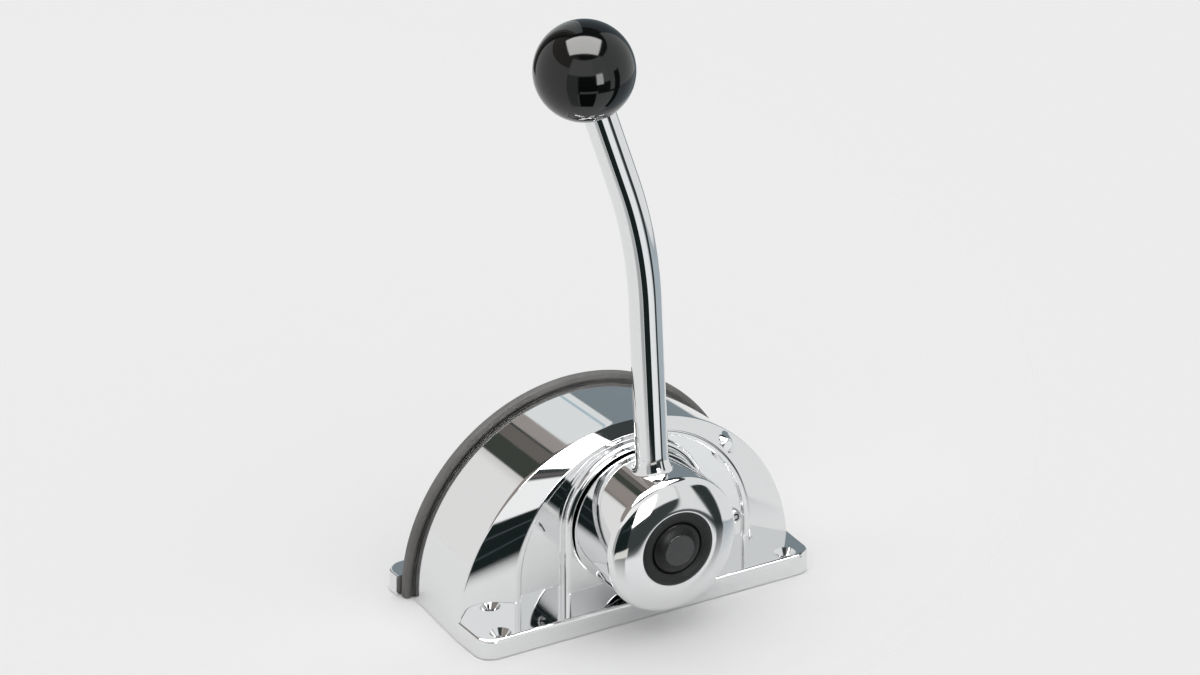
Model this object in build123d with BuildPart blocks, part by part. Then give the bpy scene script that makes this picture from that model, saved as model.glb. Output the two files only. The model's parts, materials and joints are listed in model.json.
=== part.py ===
from build123d import *
from math import acos, cos, hypot, pi, radians, sin, sqrt, tan
import os

# Top-mount control head for a boat's throttle and gearbox.
# Millimetres. X runs along the base, -Y faces the person who steers, Z is up.
# The origin lies on the mounting plane, in the middle of the four mounting holes.

os.makedirs("parts", exist_ok=True)

# Casing
dome_spring = 3.0
dome_draft = 4.0
shell_wall = 3.5
rim_y = -21.5
housing_back_y = 28.5
shoulder_width = 27.5
face_depth = 9.5
face_drop = 2.5
lip_width = 3.0
lip_height = 2.0
flange_height = 10.5
flange_reach = 12.5
flange_corner = 9.0
collar_step = 3.8
collar_lip_gap = 0.9
collar_height = 5.0
shoulder_wall = 4.0

pocket_count = 4
shoulder_boss_lean = 53.26
shoulder_boss_inset = 4.4
shoulder_boss_radius = 4.0
shoulder_boss_proud = 2.0

# Rounded edges
rim_edge_round = 1.5
flange_edge_round = 1.5
collar_edge_round = 3.0
lip_edge_round = 0.8
cover_edge_round = 1.0
strip_edge_round = 2.2
barrel_edge_round = 0.8

# Mounting holes
mount_inset = 13.0
mount_edge_front = 6.0
mount_edge_back = 7.0
mount_hole_radius = 2.75
mount_sink_radius = 5.4

# Rear cover and the rubber strip between the two shells
strip_gap = 2.5
strip_width = 5.5
strip_tuck = 0.5
strip_web_depth = 3.5
cover_thickness = 4.0
strip_thickness = 4.5
cover_flange_margin = 2.0
cover_boss_radius = 12.0
cover_boss_depth = 9.0
cover_screw_radius = 2.0
cover_screw_head_radius = 3.6
cover_screw_head_height = 2.4
cover_screw_depth = 12.0
cover_screw_clearance = 0.2
cover_rib_length = 14.0
cover_rib_height = 4.0
post_radius = 5.0
post_low_inset = 15.0
post_low_z = 16.0
post_high_x = 34.0
post_high_inset = 14.25
post_root = 1.0
rib_thickness = 3.0
rib_sink = 2.0

# Shaft line
shaft_radius = 7.0
journal_radius = 6.0
bush_wall = 3.0
running_gap = 0.05
face_gap = 0.5
front_boss_radius = 15.0
front_boss_back_y = -16.0
journal_gap = 2.0
journal_length = 12.0
seal_thickness = 2.5

# Hub, lever and knob
barrel_radius = 35.7
barrel_gap = 1.5
barrel_lift = 3.8
barrel_length = 31.8
barrel_wall = 4.5
barrel_web = 10.0
barrel_boss_radius = 14.0
rim_round = 4.6
rim_turn = 65.0
crown_inset = 1.0
cap_rise = 6.2
bezel_radius = 19.5
bezel_bore_radius = 14.6
bezel_seat_depth = 2.5
bezel_height = 3.4
shaft_nose = 6.3
lever_radius = 8.1
lever_setback = 15.3
lever_lean = 2.6
lever_bend = 15.4
lever_bend_height = 162.0
lever_bend_radius = 260.0
lever_upper_run = 104.6
spigot_radius = 5.5
spigot_start = 17.0
socket_radius = 9.0
knob_radius = 25.0
knob_flat_radius = 9.0
insert_radius = 7.0
insert_length = 17.0
stud_radius = 4.0
grub_angle = 202.0
grub_radius = 2.5
grub_inset = 9.0
grub_length = 27.0
grub_pillar_radius = 6.0
socket_share = 0.6

# Push button and clutch
button_radius = 13.2
button_travel = 5.0
button_wall = 2.0
button_proud = 1.0
button_round = 3.2
button_lead_in = 0.25
disc_radius = 8.2
disc_thickness = 1.2
disc_seat = 0.9
push_rod_radius = 2.5
clutch_pin_radius = 1.5
clutch_reach = 9.2
spring_radius = 9.0
spring_wire = 0.7
spring_turns = 3

# Shift gears
gear_module = 2.0
pinion_teeth = 18
sector_teeth = 27
pressure_angle = 20.0
backlash = 0.3
addendum = 0.95
dedendum = 1.2
tooth_foot = 0.97
flank_steps = 4
centre_slack = 0.1
mesh_angle = 200.0
sector_side_teeth = 5
pinion_width = 10.0
sector_width = 7.0
clutch_relief = 9.8
stud_pin_radius = 4.0
sector_hub_radius = 9.0
arm_thickness = 5.0
shift_arm_length = 24.0
shift_arm_angle = 165.0
arm_end_radius = 6.0
arm_room = 7.828
rivet_radius = 1.5
rivet_circle = 6.4

# Throttle crank
drum_radius = 20.0
drum_width = 8.0
crank_width = 6.0
crank_hub_radius = 12.0
throttle_drop = 9.0
stack_gap = 1.0
crank_gap = 2.0
washer_clearance = 0.1
pivot_gap = 0.3
clip_groove_depth = 0.5
pivot_radius = 2.5
pivot_head_radius = 4.0
pivot_head_height = 1.5
clip_step = 2.2
trunnion_radius = 5.0
trunnion_width = 8.0
trunnion_stem_radius = 3.5
trunnion_reach = 10.0
wire_radius = 1.3
wire_screw_drop = 7.0
wire_screw_length = 3.0
clip_thickness = 1.0
roll_pin_radius = 1.5

# Friction brake
friction_inset = 8.0
friction_drop = 18.0
friction_head_radius = 3.4
friction_head_height = 2.6
friction_head_round = 1.56
friction_screw_radius = 2.0
friction_post_radius = 6.0
brake_angle = -20.0
brake_pad_arc = 34.0
brake_pad_thickness = 4.0
brake_arm_band = 4.0
brake_width = 6.0
brake_gap = 0.05

# Cable bracket
bracket_thickness = 2.0
bracket_shelf_z = 5.0
bracket_height = 15.0
bracket_post_gap = 1.0
bracket_right = 10.0
bracket_arm_half = 6.0
bracket_arm_reach = 6.0
gland_radius = 4.0
gland_bore_radius = 2.2
gland_flange_radius = 5.2
gland_flange_height = 3.0
gland_rise = 2.0
bracket_screw_z = 15.0
bracket_screw_left = -50.0
bracket_screw_right = -14.0
bracket_screw_depth = 3.0
friction_nut_radius = 4.0
friction_nut_height = 3.0

# Places worked out from the sizes above
axis_z = flange_height + barrel_lift + barrel_radius
pinion_pitch = gear_module * pinion_teeth / 2
sector_pitch = gear_module * sector_teeth / 2
gear_centres = pinion_pitch + sector_pitch + centre_slack
shift_x = gear_centres * cos(radians(mesh_angle))
shift_z = axis_z + gear_centres * sin(radians(mesh_angle))
shift_pin_x = shift_x + shift_arm_length * cos(radians(shift_arm_angle))
shift_pin_z = shift_z + shift_arm_length * sin(radians(shift_arm_angle))
shift_reach = hypot(shift_pin_x, shift_pin_z - dome_spring)
arm_need = shift_reach + arm_end_radius + arm_room + shell_wall
collar_radius = barrel_radius + collar_step
collar_need = axis_z + collar_radius + collar_lip_gap + lip_width + face_drop - dome_spring
dome_radius = max(arm_need, collar_need)
face_half_width = dome_radius - shoulder_width
face_spring = dome_spring + dome_radius - face_drop - face_half_width
face_y = rim_y - face_depth
panel_y = face_y + lip_height
collar_y = panel_y - collar_height
wall_inner_y = panel_y + shell_wall
inner_shoulder_y = rim_y + shoulder_wall
flange_front_y = collar_y - flange_reach
mount_half_x = dome_radius - mount_inset
mount_half_y = -flange_front_y - mount_edge_front
shoulder_boss_reach = (dome_radius + face_half_width) / 2 + shoulder_boss_inset
shoulder_boss_x = shoulder_boss_reach * cos(radians(shoulder_boss_lean))
shoulder_boss_z = dome_spring + shoulder_boss_reach * sin(radians(shoulder_boss_lean))
cover_front_y = housing_back_y + strip_gap
cover_back_y = cover_front_y + cover_thickness
strip_inner_radius = dome_radius - dome_draft - strip_tuck
strip_outer_radius = strip_inner_radius + strip_thickness
cover_radius = strip_inner_radius
cover_flange_front_y = housing_back_y + strip_width
cover_flange_back_y = mount_half_y + mount_edge_back
cover_flange_half_x = dome_radius + cover_flange_margin
post_low_x = dome_radius - post_low_inset
post_high_z = dome_spring + sqrt((dome_radius - post_high_inset) ** 2 - post_high_x ** 2)
bracket_left = post_low_x - post_radius - bracket_post_gap
bracket_front_y = cover_front_y - bracket_thickness
journal_y = cover_front_y - cover_boss_depth - journal_gap
barrel_back_y = collar_y - barrel_gap
barrel_front_y = barrel_back_y - barrel_length
cap_front_y = barrel_front_y - cap_rise
recess_floor_y = barrel_front_y + shaft_nose
bezel_seat_y = cap_front_y + bezel_seat_depth
lever_y = barrel_front_y + lever_setback
bush_radius = shaft_radius + bush_wall
rear_bush_radius = journal_radius + bush_wall
pinion_front_y = front_boss_back_y + stack_gap
pinion_back_y = pinion_front_y + pinion_width
drum_front_y = pinion_back_y + face_gap
drum_back_y = drum_front_y + drum_width
crank_front_y = drum_back_y + crank_gap
crank_back_y = crank_front_y + crank_width
sector_front_y = pinion_front_y + face_gap
sector_back_y = sector_front_y + sector_width
shift_arm_back_y = sector_back_y + arm_thickness
gland_top_z = bracket_shelf_z + bracket_thickness + gland_rise
throttle_pin_z = gland_top_z + throttle_drop + trunnion_reach
clutch_pin_y = pinion_front_y + clutch_pin_radius + face_gap
clutch_slot_half = clutch_pin_radius + running_gap
clutch_slot_front_y = clutch_pin_y - clutch_slot_half
clutch_slot_back_y = clutch_pin_y + button_travel + clutch_slot_half
push_rod_end_y = clutch_pin_y + 2 * clutch_pin_radius
shaft_bore_end_y = push_rod_end_y + button_travel + face_gap
drum_pin_y = (drum_front_y + drum_back_y) / 2
crank_pin_y = (crank_front_y + crank_back_y) / 2
clip_y = crank_back_y + washer_clearance
crown_start_y = barrel_front_y + crown_inset
crown_turn_y = crown_start_y - rim_round * sin(radians(rim_turn))
crown_turn_radius = barrel_radius - rim_round * (1 - cos(radians(rim_turn)))
button_front_y = bezel_seat_y - bezel_height - button_proud
button_edge_y = button_front_y + button_round
button_web_y = button_front_y + disc_seat + button_wall
button_back_y = recess_floor_y - button_travel - face_gap
button_inner_radius = button_radius - button_wall
spring_back_y = recess_floor_y - spring_wire - washer_clearance
spring_pitch = (spring_back_y - button_web_y - spring_wire - washer_clearance) / spring_turns
lever_foot = sqrt(barrel_radius ** 2 - lever_radius ** 2) - face_gap
rib_reach = dome_radius - dome_draft - shell_wall + rib_sink
rib_low_end = sqrt(rib_reach ** 2 - (post_low_z - dome_spring) ** 2)
rib_low_middle_x = (post_low_x + rib_low_end) / 2
rib_low_length = rib_low_end - post_low_x
rib_high_end = dome_spring + sqrt(rib_reach ** 2 - post_high_x ** 2)
rib_high_middle_z = (post_high_z + rib_high_end) / 2
rib_high_length = rib_high_end - post_high_z
stud_seat_depth = front_boss_back_y - wall_inner_y
pocket_length = (2 * face_half_width - (pocket_count + 1) * rib_thickness) / pocket_count
pocket_width = wall_inner_y - flange_front_y - 2 * shell_wall
pocket_middle_y = (wall_inner_y + flange_front_y) / 2
shift_clip_y = shift_arm_back_y + washer_clearance
shift_stud_end_y = shift_clip_y + clip_thickness + clip_groove_depth
sector_reach = sector_pitch + 2 * gear_module
sector_first_angle = mesh_angle - 180 - sector_side_teeth * 360 / sector_teeth
sector_half_angle = (sector_side_teeth + 0.5) * 360 / sector_teeth
throttle_gland_y = crank_back_y + pivot_gap + trunnion_width / 2
shift_gland_y = shift_arm_back_y + pivot_gap + trunnion_width / 2
glands_at = [(0.0, throttle_gland_y), (shift_pin_x, shift_gland_y)]
brake_back_y = drum_front_y + brake_width
brake_inner_radius = drum_radius + brake_gap + brake_pad_thickness
brake_outer_radius = brake_inner_radius + brake_arm_band
brake_middle_radius = (brake_inner_radius + brake_outer_radius) / 2
brake_arm_x = brake_middle_radius * cos(radians(brake_angle))
brake_arm_z = brake_middle_radius * sin(radians(brake_angle))
friction_x = face_half_width - friction_inset
friction_z = axis_z - friction_drop
lean = radians(lever_lean)
lean_top = radians(lever_lean + lever_bend)
bend_x = -lever_bend_height * tan(lean)
bend_z = axis_z + lever_bend_height
knob_x = bend_x - lever_upper_run * sin(lean_top)
knob_z = bend_z + lever_upper_run * cos(lean_top)
knob_seat = sqrt(knob_radius ** 2 - knob_flat_radius ** 2)
lever_plane = Plane(origin=(0, lever_y, axis_z), x_dir=(0, 1, 0), z_dir=(-sin(lean), 0, cos(lean)))
knob_direction = (-sin(lean_top), 0, cos(lean_top))
knob_plane = Plane(origin=(knob_x, lever_y, knob_z), x_dir=(0, 1, 0), z_dir=knob_direction)
grub_direction = (cos(radians(grub_angle)), 0, sin(radians(grub_angle)))
grub_plane = Plane(origin=(0, barrel_front_y + grub_inset, axis_z), x_dir=(0, 1, 0), z_dir=grub_direction)
shaft_axis = Axis((0, 0, axis_z), (0, 1, 0))
low_posts = [(-post_low_x, post_low_z), (post_low_x, post_low_z)]
high_posts = [(-post_high_x, post_high_z), (post_high_x, post_high_z)]
cover_posts = low_posts + high_posts
front_mounts = [(-mount_half_x, -mount_half_y, flange_height), (mount_half_x, -mount_half_y, flange_height)]
rear_mounts = [(-mount_half_x, mount_half_y, flange_height), (mount_half_x, mount_half_y, flange_height)]
bracket_screws_at = [(bracket_screw_left, bracket_screw_z), (bracket_screw_right, bracket_screw_z)]


def facing(y):
    """The upright plane at this depth. Its own x is X, its own y is Z, and it looks forward to -Y."""
    return Plane.XZ.offset(-y)


def arch(half_width, spring, foot=0.0):
    """A face with straight sides from the foot to the spring line and a half circle above it."""
    with BuildSketch() as outline:
        with BuildLine():
            Line((-half_width, foot), (half_width, foot))
            Line((half_width, foot), (half_width, spring))
            CenterArc((0, spring), half_width, 0, 180)
            Line((-half_width, spring), (-half_width, foot))
        make_face()
    return outline.sketch


def gear_outline(teeth, first_angle, count):
    """The teeth and root disc of a spur gear, with involute flanks thinned by the backlash.

    Each flank follows an unwound string: at radius r it has turned by tan(a) - a, where cos(a) is
    the base radius over r. The teeth stand at equal steps from first_angle.
    """
    pitch = gear_module * teeth / 2
    base = pitch * cos(radians(pressure_angle))
    tip = pitch + gear_module * addendum
    root = pitch - gear_module * dedendum
    half_tooth = pi / (2 * teeth) - backlash / (4 * pitch)

    def turned(radius):
        angle = acos(min(1.0, base / radius))
        return tan(angle) - angle

    start = max(base, root)
    steps = [start + (tip - start) * step / flank_steps for step in range(flank_steps + 1)]
    flank = []
    for radius in steps:
        offset_angle = half_tooth + turned(pitch) - turned(radius)
        flank.append((radius * cos(offset_angle), radius * sin(offset_angle)))
    mirrored = [(x, -y) for x, y in flank]
    sunk = root * tooth_foot / start
    foot = (sunk * flank[0][0], sunk * flank[0][1])
    with BuildSketch() as tooth:
        with BuildLine():
            Line(foot, flank[0])
            Spline(*flank)
            Line(flank[-1], mirrored[-1])
            Spline(*mirrored)
            Line(mirrored[0], (foot[0], -foot[1]))
            Line((foot[0], -foot[1]), foot)
        make_face()
    with BuildSketch() as outline:
        Circle(root)
        for number in range(count):
            add(tooth.sketch.rotate(Axis.Z, first_angle + number * 360 / teeth))
    return outline.sketch


def edges_at(piece, y, shortest=0.0):
    """The edges of a piece that lie wholly in the upright plane at this depth and are longer than this."""
    found = []
    for edge in piece.edges():
        reach = edge.bounding_box()
        if max(abs(reach.min.Y - y), abs(reach.max.Y - y)) < running_gap and edge.length > shortest:
            found.append(edge)
    return found


def slice_of(radius, middle_angle, half_angle):
    """A pie slice that reaches this far either side of the middle angle."""
    first = radians(middle_angle - half_angle)
    last = radians(middle_angle + half_angle)
    with BuildSketch() as outline:
        with BuildLine():
            Line((0, 0), (radius * cos(first), radius * sin(first)))
            CenterArc((0, 0), radius, middle_angle - half_angle, 2 * half_angle)
            Line((radius * cos(last), radius * sin(last)), (0, 0))
        make_face()
    return outline.sketch


# Front housing: a die-cast shell, open underneath and behind
with BuildPart() as front_housing:
    with BuildSketch(Plane.XY) as flange_outline:
        with Locations((0, (flange_front_y + rim_y) / 2)):
            Rectangle(2 * dome_radius, rim_y - flange_front_y)
        fillet(flange_outline.vertices().group_by(Axis.Y)[0], flange_corner)
    extrude(amount=flange_height)
    flange_top = front_housing.faces().sort_by(Axis.Z)[-1]
    fillet(flange_top.edges().sort_by(Axis.Y)[:-1], flange_edge_round)
    with BuildSketch(facing(housing_back_y)):
        add(arch(dome_radius - dome_draft, dome_spring))
    with BuildSketch(facing(rim_y)):
        add(arch(dome_radius, dome_spring))
    loft(ruled=True)
    with BuildSketch(facing(rim_y)):
        add(arch(dome_radius, dome_spring))
    with BuildSketch(facing(face_y)):
        add(arch(face_half_width, face_spring))
    loft(ruled=True)
    with BuildSketch(facing(panel_y)):
        add(arch(face_half_width - lip_width, face_spring, flange_height))
    extrude(amount=lip_height, mode=Mode.SUBTRACT)
    fillet(edges_at(front_housing, rim_y, dome_radius), rim_edge_round)
    fillet(edges_at(front_housing, face_y, face_half_width), lip_edge_round)
    with BuildSketch(facing(panel_y)):
        add(arch(collar_radius, axis_z))
    extrude(amount=collar_height)
    fillet(edges_at(front_housing, collar_y, flange_height), collar_edge_round)
    with BuildSketch(facing(wall_inner_y)):
        add(arch(face_half_width - shell_wall, face_spring, -flange_height))
    with BuildSketch(facing(inner_shoulder_y)):
        add(arch(dome_radius - shell_wall, dome_spring, -flange_height))
    loft(ruled=True, mode=Mode.SUBTRACT)
    with BuildSketch(facing(housing_back_y)):
        add(arch(dome_radius - dome_draft - shell_wall, dome_spring, -flange_height))
    with BuildSketch(facing(inner_shoulder_y)):
        add(arch(dome_radius - shell_wall, dome_spring, -flange_height))
    loft(ruled=True, mode=Mode.SUBTRACT)
    # Screw posts for the rear cover, each tied to the shell by a rib
    with BuildSketch(facing(cover_front_y)):
        with Locations(*low_posts):
            Circle(post_radius)
    extrude(amount=cover_front_y - inner_shoulder_y + shell_wall + post_root)
    with BuildSketch(facing(cover_front_y)):
        with Locations(*high_posts):
            Circle(post_radius)
    extrude(amount=cover_front_y - wall_inner_y + post_root)
    with BuildSketch(facing(housing_back_y)):
        with Locations((-rib_low_middle_x, post_low_z), (rib_low_middle_x, post_low_z)):
            Rectangle(rib_low_length, rib_thickness)
        with Locations((-post_high_x, rib_high_middle_z), (post_high_x, rib_high_middle_z)):
            Rectangle(rib_thickness, rib_high_length)
    extrude(amount=housing_back_y - inner_shoulder_y)
    with BuildSketch(facing(cover_front_y)):
        with Locations(*cover_posts):
            Circle(cover_screw_radius)
    extrude(amount=cover_screw_depth, mode=Mode.SUBTRACT)
    # Bearing boss of the main shaft, post of the shift stud and post of the friction screw
    with BuildSketch(facing(front_boss_back_y)):
        with Locations((0, axis_z)):
            Circle(front_boss_radius)
        with Locations((shift_x, shift_z)):
            Circle(stud_pin_radius + shell_wall)
    extrude(amount=front_boss_back_y - wall_inner_y + post_root)
    with BuildSketch(facing(drum_front_y)):
        with Locations((friction_x, friction_z)):
            Circle(friction_post_radius)
    extrude(amount=drum_front_y - wall_inner_y + post_root)
    with BuildSketch(facing(front_boss_back_y)):
        with Locations((0, axis_z)):
            Circle(bush_radius)
    extrude(amount=front_boss_back_y - collar_y, mode=Mode.SUBTRACT)
    with BuildSketch(facing(front_boss_back_y)):
        with Locations((shift_x, shift_z)):
            Circle(stud_pin_radius)
    extrude(amount=stud_seat_depth, mode=Mode.SUBTRACT)
    with BuildSketch(facing(drum_front_y)):
        with Locations((friction_x, friction_z)):
            Circle(friction_screw_radius)
    extrude(amount=drum_front_y - panel_y, mode=Mode.SUBTRACT)
    # Round boss on the shoulder, at the upper right
    with BuildSketch(facing(rim_y)):
        with Locations((shoulder_boss_x, shoulder_boss_z)):
            Circle(shoulder_boss_radius)
    extrude(amount=rim_y - face_y + shoulder_boss_proud)
    # Pockets under the front flange
    with BuildSketch(Plane.XY):
        with Locations((0, pocket_middle_y)):
            with GridLocations(pocket_length + rib_thickness, 0, pocket_count, 1):
                Rectangle(pocket_length, pocket_width)
    extrude(amount=flange_height - shell_wall, mode=Mode.SUBTRACT)
    with Locations(*front_mounts):
        CounterSinkHole(mount_hole_radius, mount_sink_radius, flange_height)
front_housing.part.label = "front_housing"
export_step(front_housing.part, "parts/front_housing.step")

# Rear cover: a plate that closes the back, with the rear flange and the rear bearing boss
with BuildPart() as rear_cover:
    with BuildSketch(Plane.XY) as rear_flange_outline:
        with Locations((0, (cover_flange_front_y + cover_flange_back_y) / 2)):
            Rectangle(2 * cover_flange_half_x, cover_flange_back_y - cover_flange_front_y)
        fillet(rear_flange_outline.vertices().group_by(Axis.Y)[-1], flange_corner)
    extrude(amount=flange_height)
    rear_flange_top = rear_cover.faces().sort_by(Axis.Z)[-1]
    fillet(rear_flange_top.edges().sort_by(Axis.Y)[1:], cover_edge_round)
    with BuildSketch(facing(cover_back_y - cover_edge_round)):
        add(arch(cover_radius, dome_spring))
    extrude(amount=cover_thickness - cover_edge_round)
    with BuildSketch(facing(cover_back_y - cover_edge_round)):
        add(arch(cover_radius, dome_spring))
    with BuildSketch(facing(cover_back_y)):
        add(arch(cover_radius - cover_edge_round, dome_spring))
    loft(ruled=True)
    with BuildSketch(facing(cover_front_y)):
        with Locations((0, axis_z)):
            Circle(cover_boss_radius)
    extrude(amount=cover_boss_depth)
    with BuildSketch(facing(cover_front_y)):
        with Locations((0, axis_z)):
            for angle in range(0, 360, 60):
                with Locations(Location((0, 0, 0), (0, 0, angle))):
                    with Locations((cover_boss_radius + cover_rib_length / 2 - rib_thickness, 0)):
                        Rectangle(cover_rib_length, rib_thickness)
    extrude(amount=cover_rib_height)
    with BuildSketch(facing(cover_front_y - cover_boss_depth)):
        with Locations((0, axis_z)):
            Circle(rear_bush_radius)
    extrude(amount=-(cover_boss_depth + cover_thickness / 2), mode=Mode.SUBTRACT)
    with BuildSketch(facing(cover_back_y)):
        with Locations(*cover_posts):
            Circle(cover_screw_radius + cover_screw_clearance)
    extrude(amount=cover_thickness, mode=Mode.SUBTRACT)
    with BuildSketch(facing(cover_front_y)):
        with Locations(*bracket_screws_at):
            Circle(cover_screw_radius)
    extrude(amount=-bracket_screw_depth, mode=Mode.SUBTRACT)
    with Locations(*rear_mounts):
        CounterSinkHole(mount_hole_radius, mount_sink_radius, flange_height)
rear_cover.part.label = "rear_cover"
export_step(rear_cover.part, "parts/rear_cover.step")

# Rubber strip: a bead that stands proud of the shells, with a web nipped between them
with BuildPart() as rubber_strip:
    with BuildSketch(facing(housing_back_y + strip_width)):
        add(arch(strip_outer_radius, dome_spring))
        add(arch(strip_inner_radius, dome_spring, -flange_height), mode=Mode.SUBTRACT)
    extrude(amount=strip_width)
    fillet(rubber_strip.edges().filter_by(GeomType.CIRCLE).sort_by(SortBy.RADIUS)[-2:], strip_edge_round)
    with BuildSketch(facing(cover_front_y)):
        add(arch(strip_inner_radius, dome_spring))
        add(arch(strip_inner_radius - strip_web_depth, dome_spring, -flange_height), mode=Mode.SUBTRACT)
    extrude(amount=strip_gap)
rubber_strip.part.label = "rubber_strip"
export_step(rubber_strip.part, "parts/rubber_strip.step")

# Screws of the rear cover
with BuildPart() as cover_screws:
    with BuildSketch(facing(cover_back_y)):
        with Locations(*cover_posts):
            Circle(cover_screw_radius)
    extrude(amount=cover_thickness + cover_screw_depth - face_gap)
    with BuildSketch(facing(cover_back_y)):
        with Locations(*cover_posts):
            Circle(cover_screw_head_radius)
    extrude(amount=-cover_screw_head_height)
    chamfer(cover_screws.faces().sort_by(Axis.Y)[-4:].edges(), cover_screw_head_height / 4)
    with BuildSketch(facing(cover_back_y + cover_screw_head_height)):
        with Locations(*cover_posts):
            RegularPolygon(cover_screw_radius, 6)
    extrude(amount=cover_screw_head_height / 2, mode=Mode.SUBTRACT)
cover_screws.part.label = "cover_screws"
export_step(cover_screws.part, "parts/cover_screws.step")

# Bushes and the shaft seal
with BuildPart() as front_bush:
    with BuildSketch(facing(front_boss_back_y)):
        with Locations((0, axis_z)):
            Circle(bush_radius)
            Circle(shaft_radius + running_gap, mode=Mode.SUBTRACT)
    extrude(amount=front_boss_back_y - collar_y - seal_thickness)
front_bush.part.label = "front_bush"
export_step(front_bush.part, "parts/front_bush.step")

with BuildPart() as shaft_seal:
    with BuildSketch(facing(collar_y + seal_thickness)):
        with Locations((0, axis_z)):
            Circle(bush_radius)
            Circle(shaft_radius + running_gap, mode=Mode.SUBTRACT)
    extrude(amount=seal_thickness)
shaft_seal.part.label = "shaft_seal"
export_step(shaft_seal.part, "parts/shaft_seal.step")

with BuildPart() as rear_bush:
    with BuildSketch(facing(cover_front_y + cover_thickness / 2)):
        with Locations((0, axis_z)):
            Circle(rear_bush_radius)
            Circle(journal_radius + running_gap, mode=Mode.SUBTRACT)
    extrude(amount=cover_boss_depth + cover_thickness / 2)
rear_bush.part.label = "rear_bush"
export_step(rear_bush.part, "parts/rear_bush.step")

# Main shaft, hollow at the front for the push rod, with a slot for the clutch pin
with BuildPart() as main_shaft:
    with BuildSketch(facing(journal_y)):
        with Locations((0, axis_z)):
            Circle(shaft_radius)
    extrude(amount=journal_y - recess_floor_y)
    with BuildSketch(facing(journal_y)):
        with Locations((0, axis_z)):
            Circle(journal_radius)
    extrude(amount=-journal_length)
    with BuildSketch(facing(shaft_bore_end_y)):
        with Locations((0, axis_z)):
            Circle(push_rod_radius + face_gap / 2)
    extrude(amount=shaft_bore_end_y - recess_floor_y, mode=Mode.SUBTRACT)
    with BuildSketch(Plane.XY.offset(axis_z - clutch_slot_half)):
        with Locations((0, (clutch_slot_front_y + clutch_slot_back_y) / 2)):
            Rectangle(4 * shaft_radius, clutch_slot_back_y - clutch_slot_front_y)
    extrude(amount=2 * clutch_slot_half, mode=Mode.SUBTRACT)
    with BuildSketch(Plane.XY.offset(axis_z - 2 * shaft_radius)):
        with Locations((0, drum_pin_y), (0, crank_pin_y)):
            Circle(roll_pin_radius)
    extrude(amount=4 * shaft_radius, mode=Mode.SUBTRACT)
    with BuildSketch(facing(clip_y + clip_thickness)):
        with Locations((0, axis_z)):
            Circle(2 * shaft_radius)
            Circle(shaft_radius - clip_groove_depth, mode=Mode.SUBTRACT)
    extrude(amount=clip_thickness, mode=Mode.SUBTRACT)
    with BuildSketch(grub_plane.offset(shaft_radius - clip_groove_depth)):
        Rectangle(4 * grub_radius, 4 * grub_radius)
    extrude(amount=shaft_radius, mode=Mode.SUBTRACT)
    chamfer(main_shaft.faces().sort_by(Axis.Y)[-1].edges(), clip_groove_depth)
main_shaft.part.label = "main_shaft"
export_step(main_shaft.part, "parts/main_shaft.step")

# Circlip that keeps the crank on the shaft
with BuildPart() as shaft_clip:
    with BuildSketch(facing(clip_y + clip_thickness)):
        with Locations((0, axis_z)):
            Circle(shaft_radius + clip_step)
            Circle(shaft_radius - clip_groove_depth, mode=Mode.SUBTRACT)
            with Locations((0, shaft_radius)):
                Rectangle(shaft_radius, 2 * shaft_radius, mode=Mode.SUBTRACT)
    extrude(amount=clip_thickness)
shaft_clip.part.label = "shaft_clip"
export_step(shaft_clip.part, "parts/shaft_clip.step")

# Thrust washer between the bearing boss and the pinion
with BuildPart() as thrust_washer:
    with BuildSketch(facing(pinion_front_y - washer_clearance)):
        with Locations((0, axis_z)):
            Circle(front_boss_radius)
            Circle(shaft_radius + running_gap, mode=Mode.SUBTRACT)
    extrude(amount=stack_gap - 2 * washer_clearance)
thrust_washer.part.label = "thrust_washer"
export_step(thrust_washer.part, "parts/thrust_washer.step")

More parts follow.
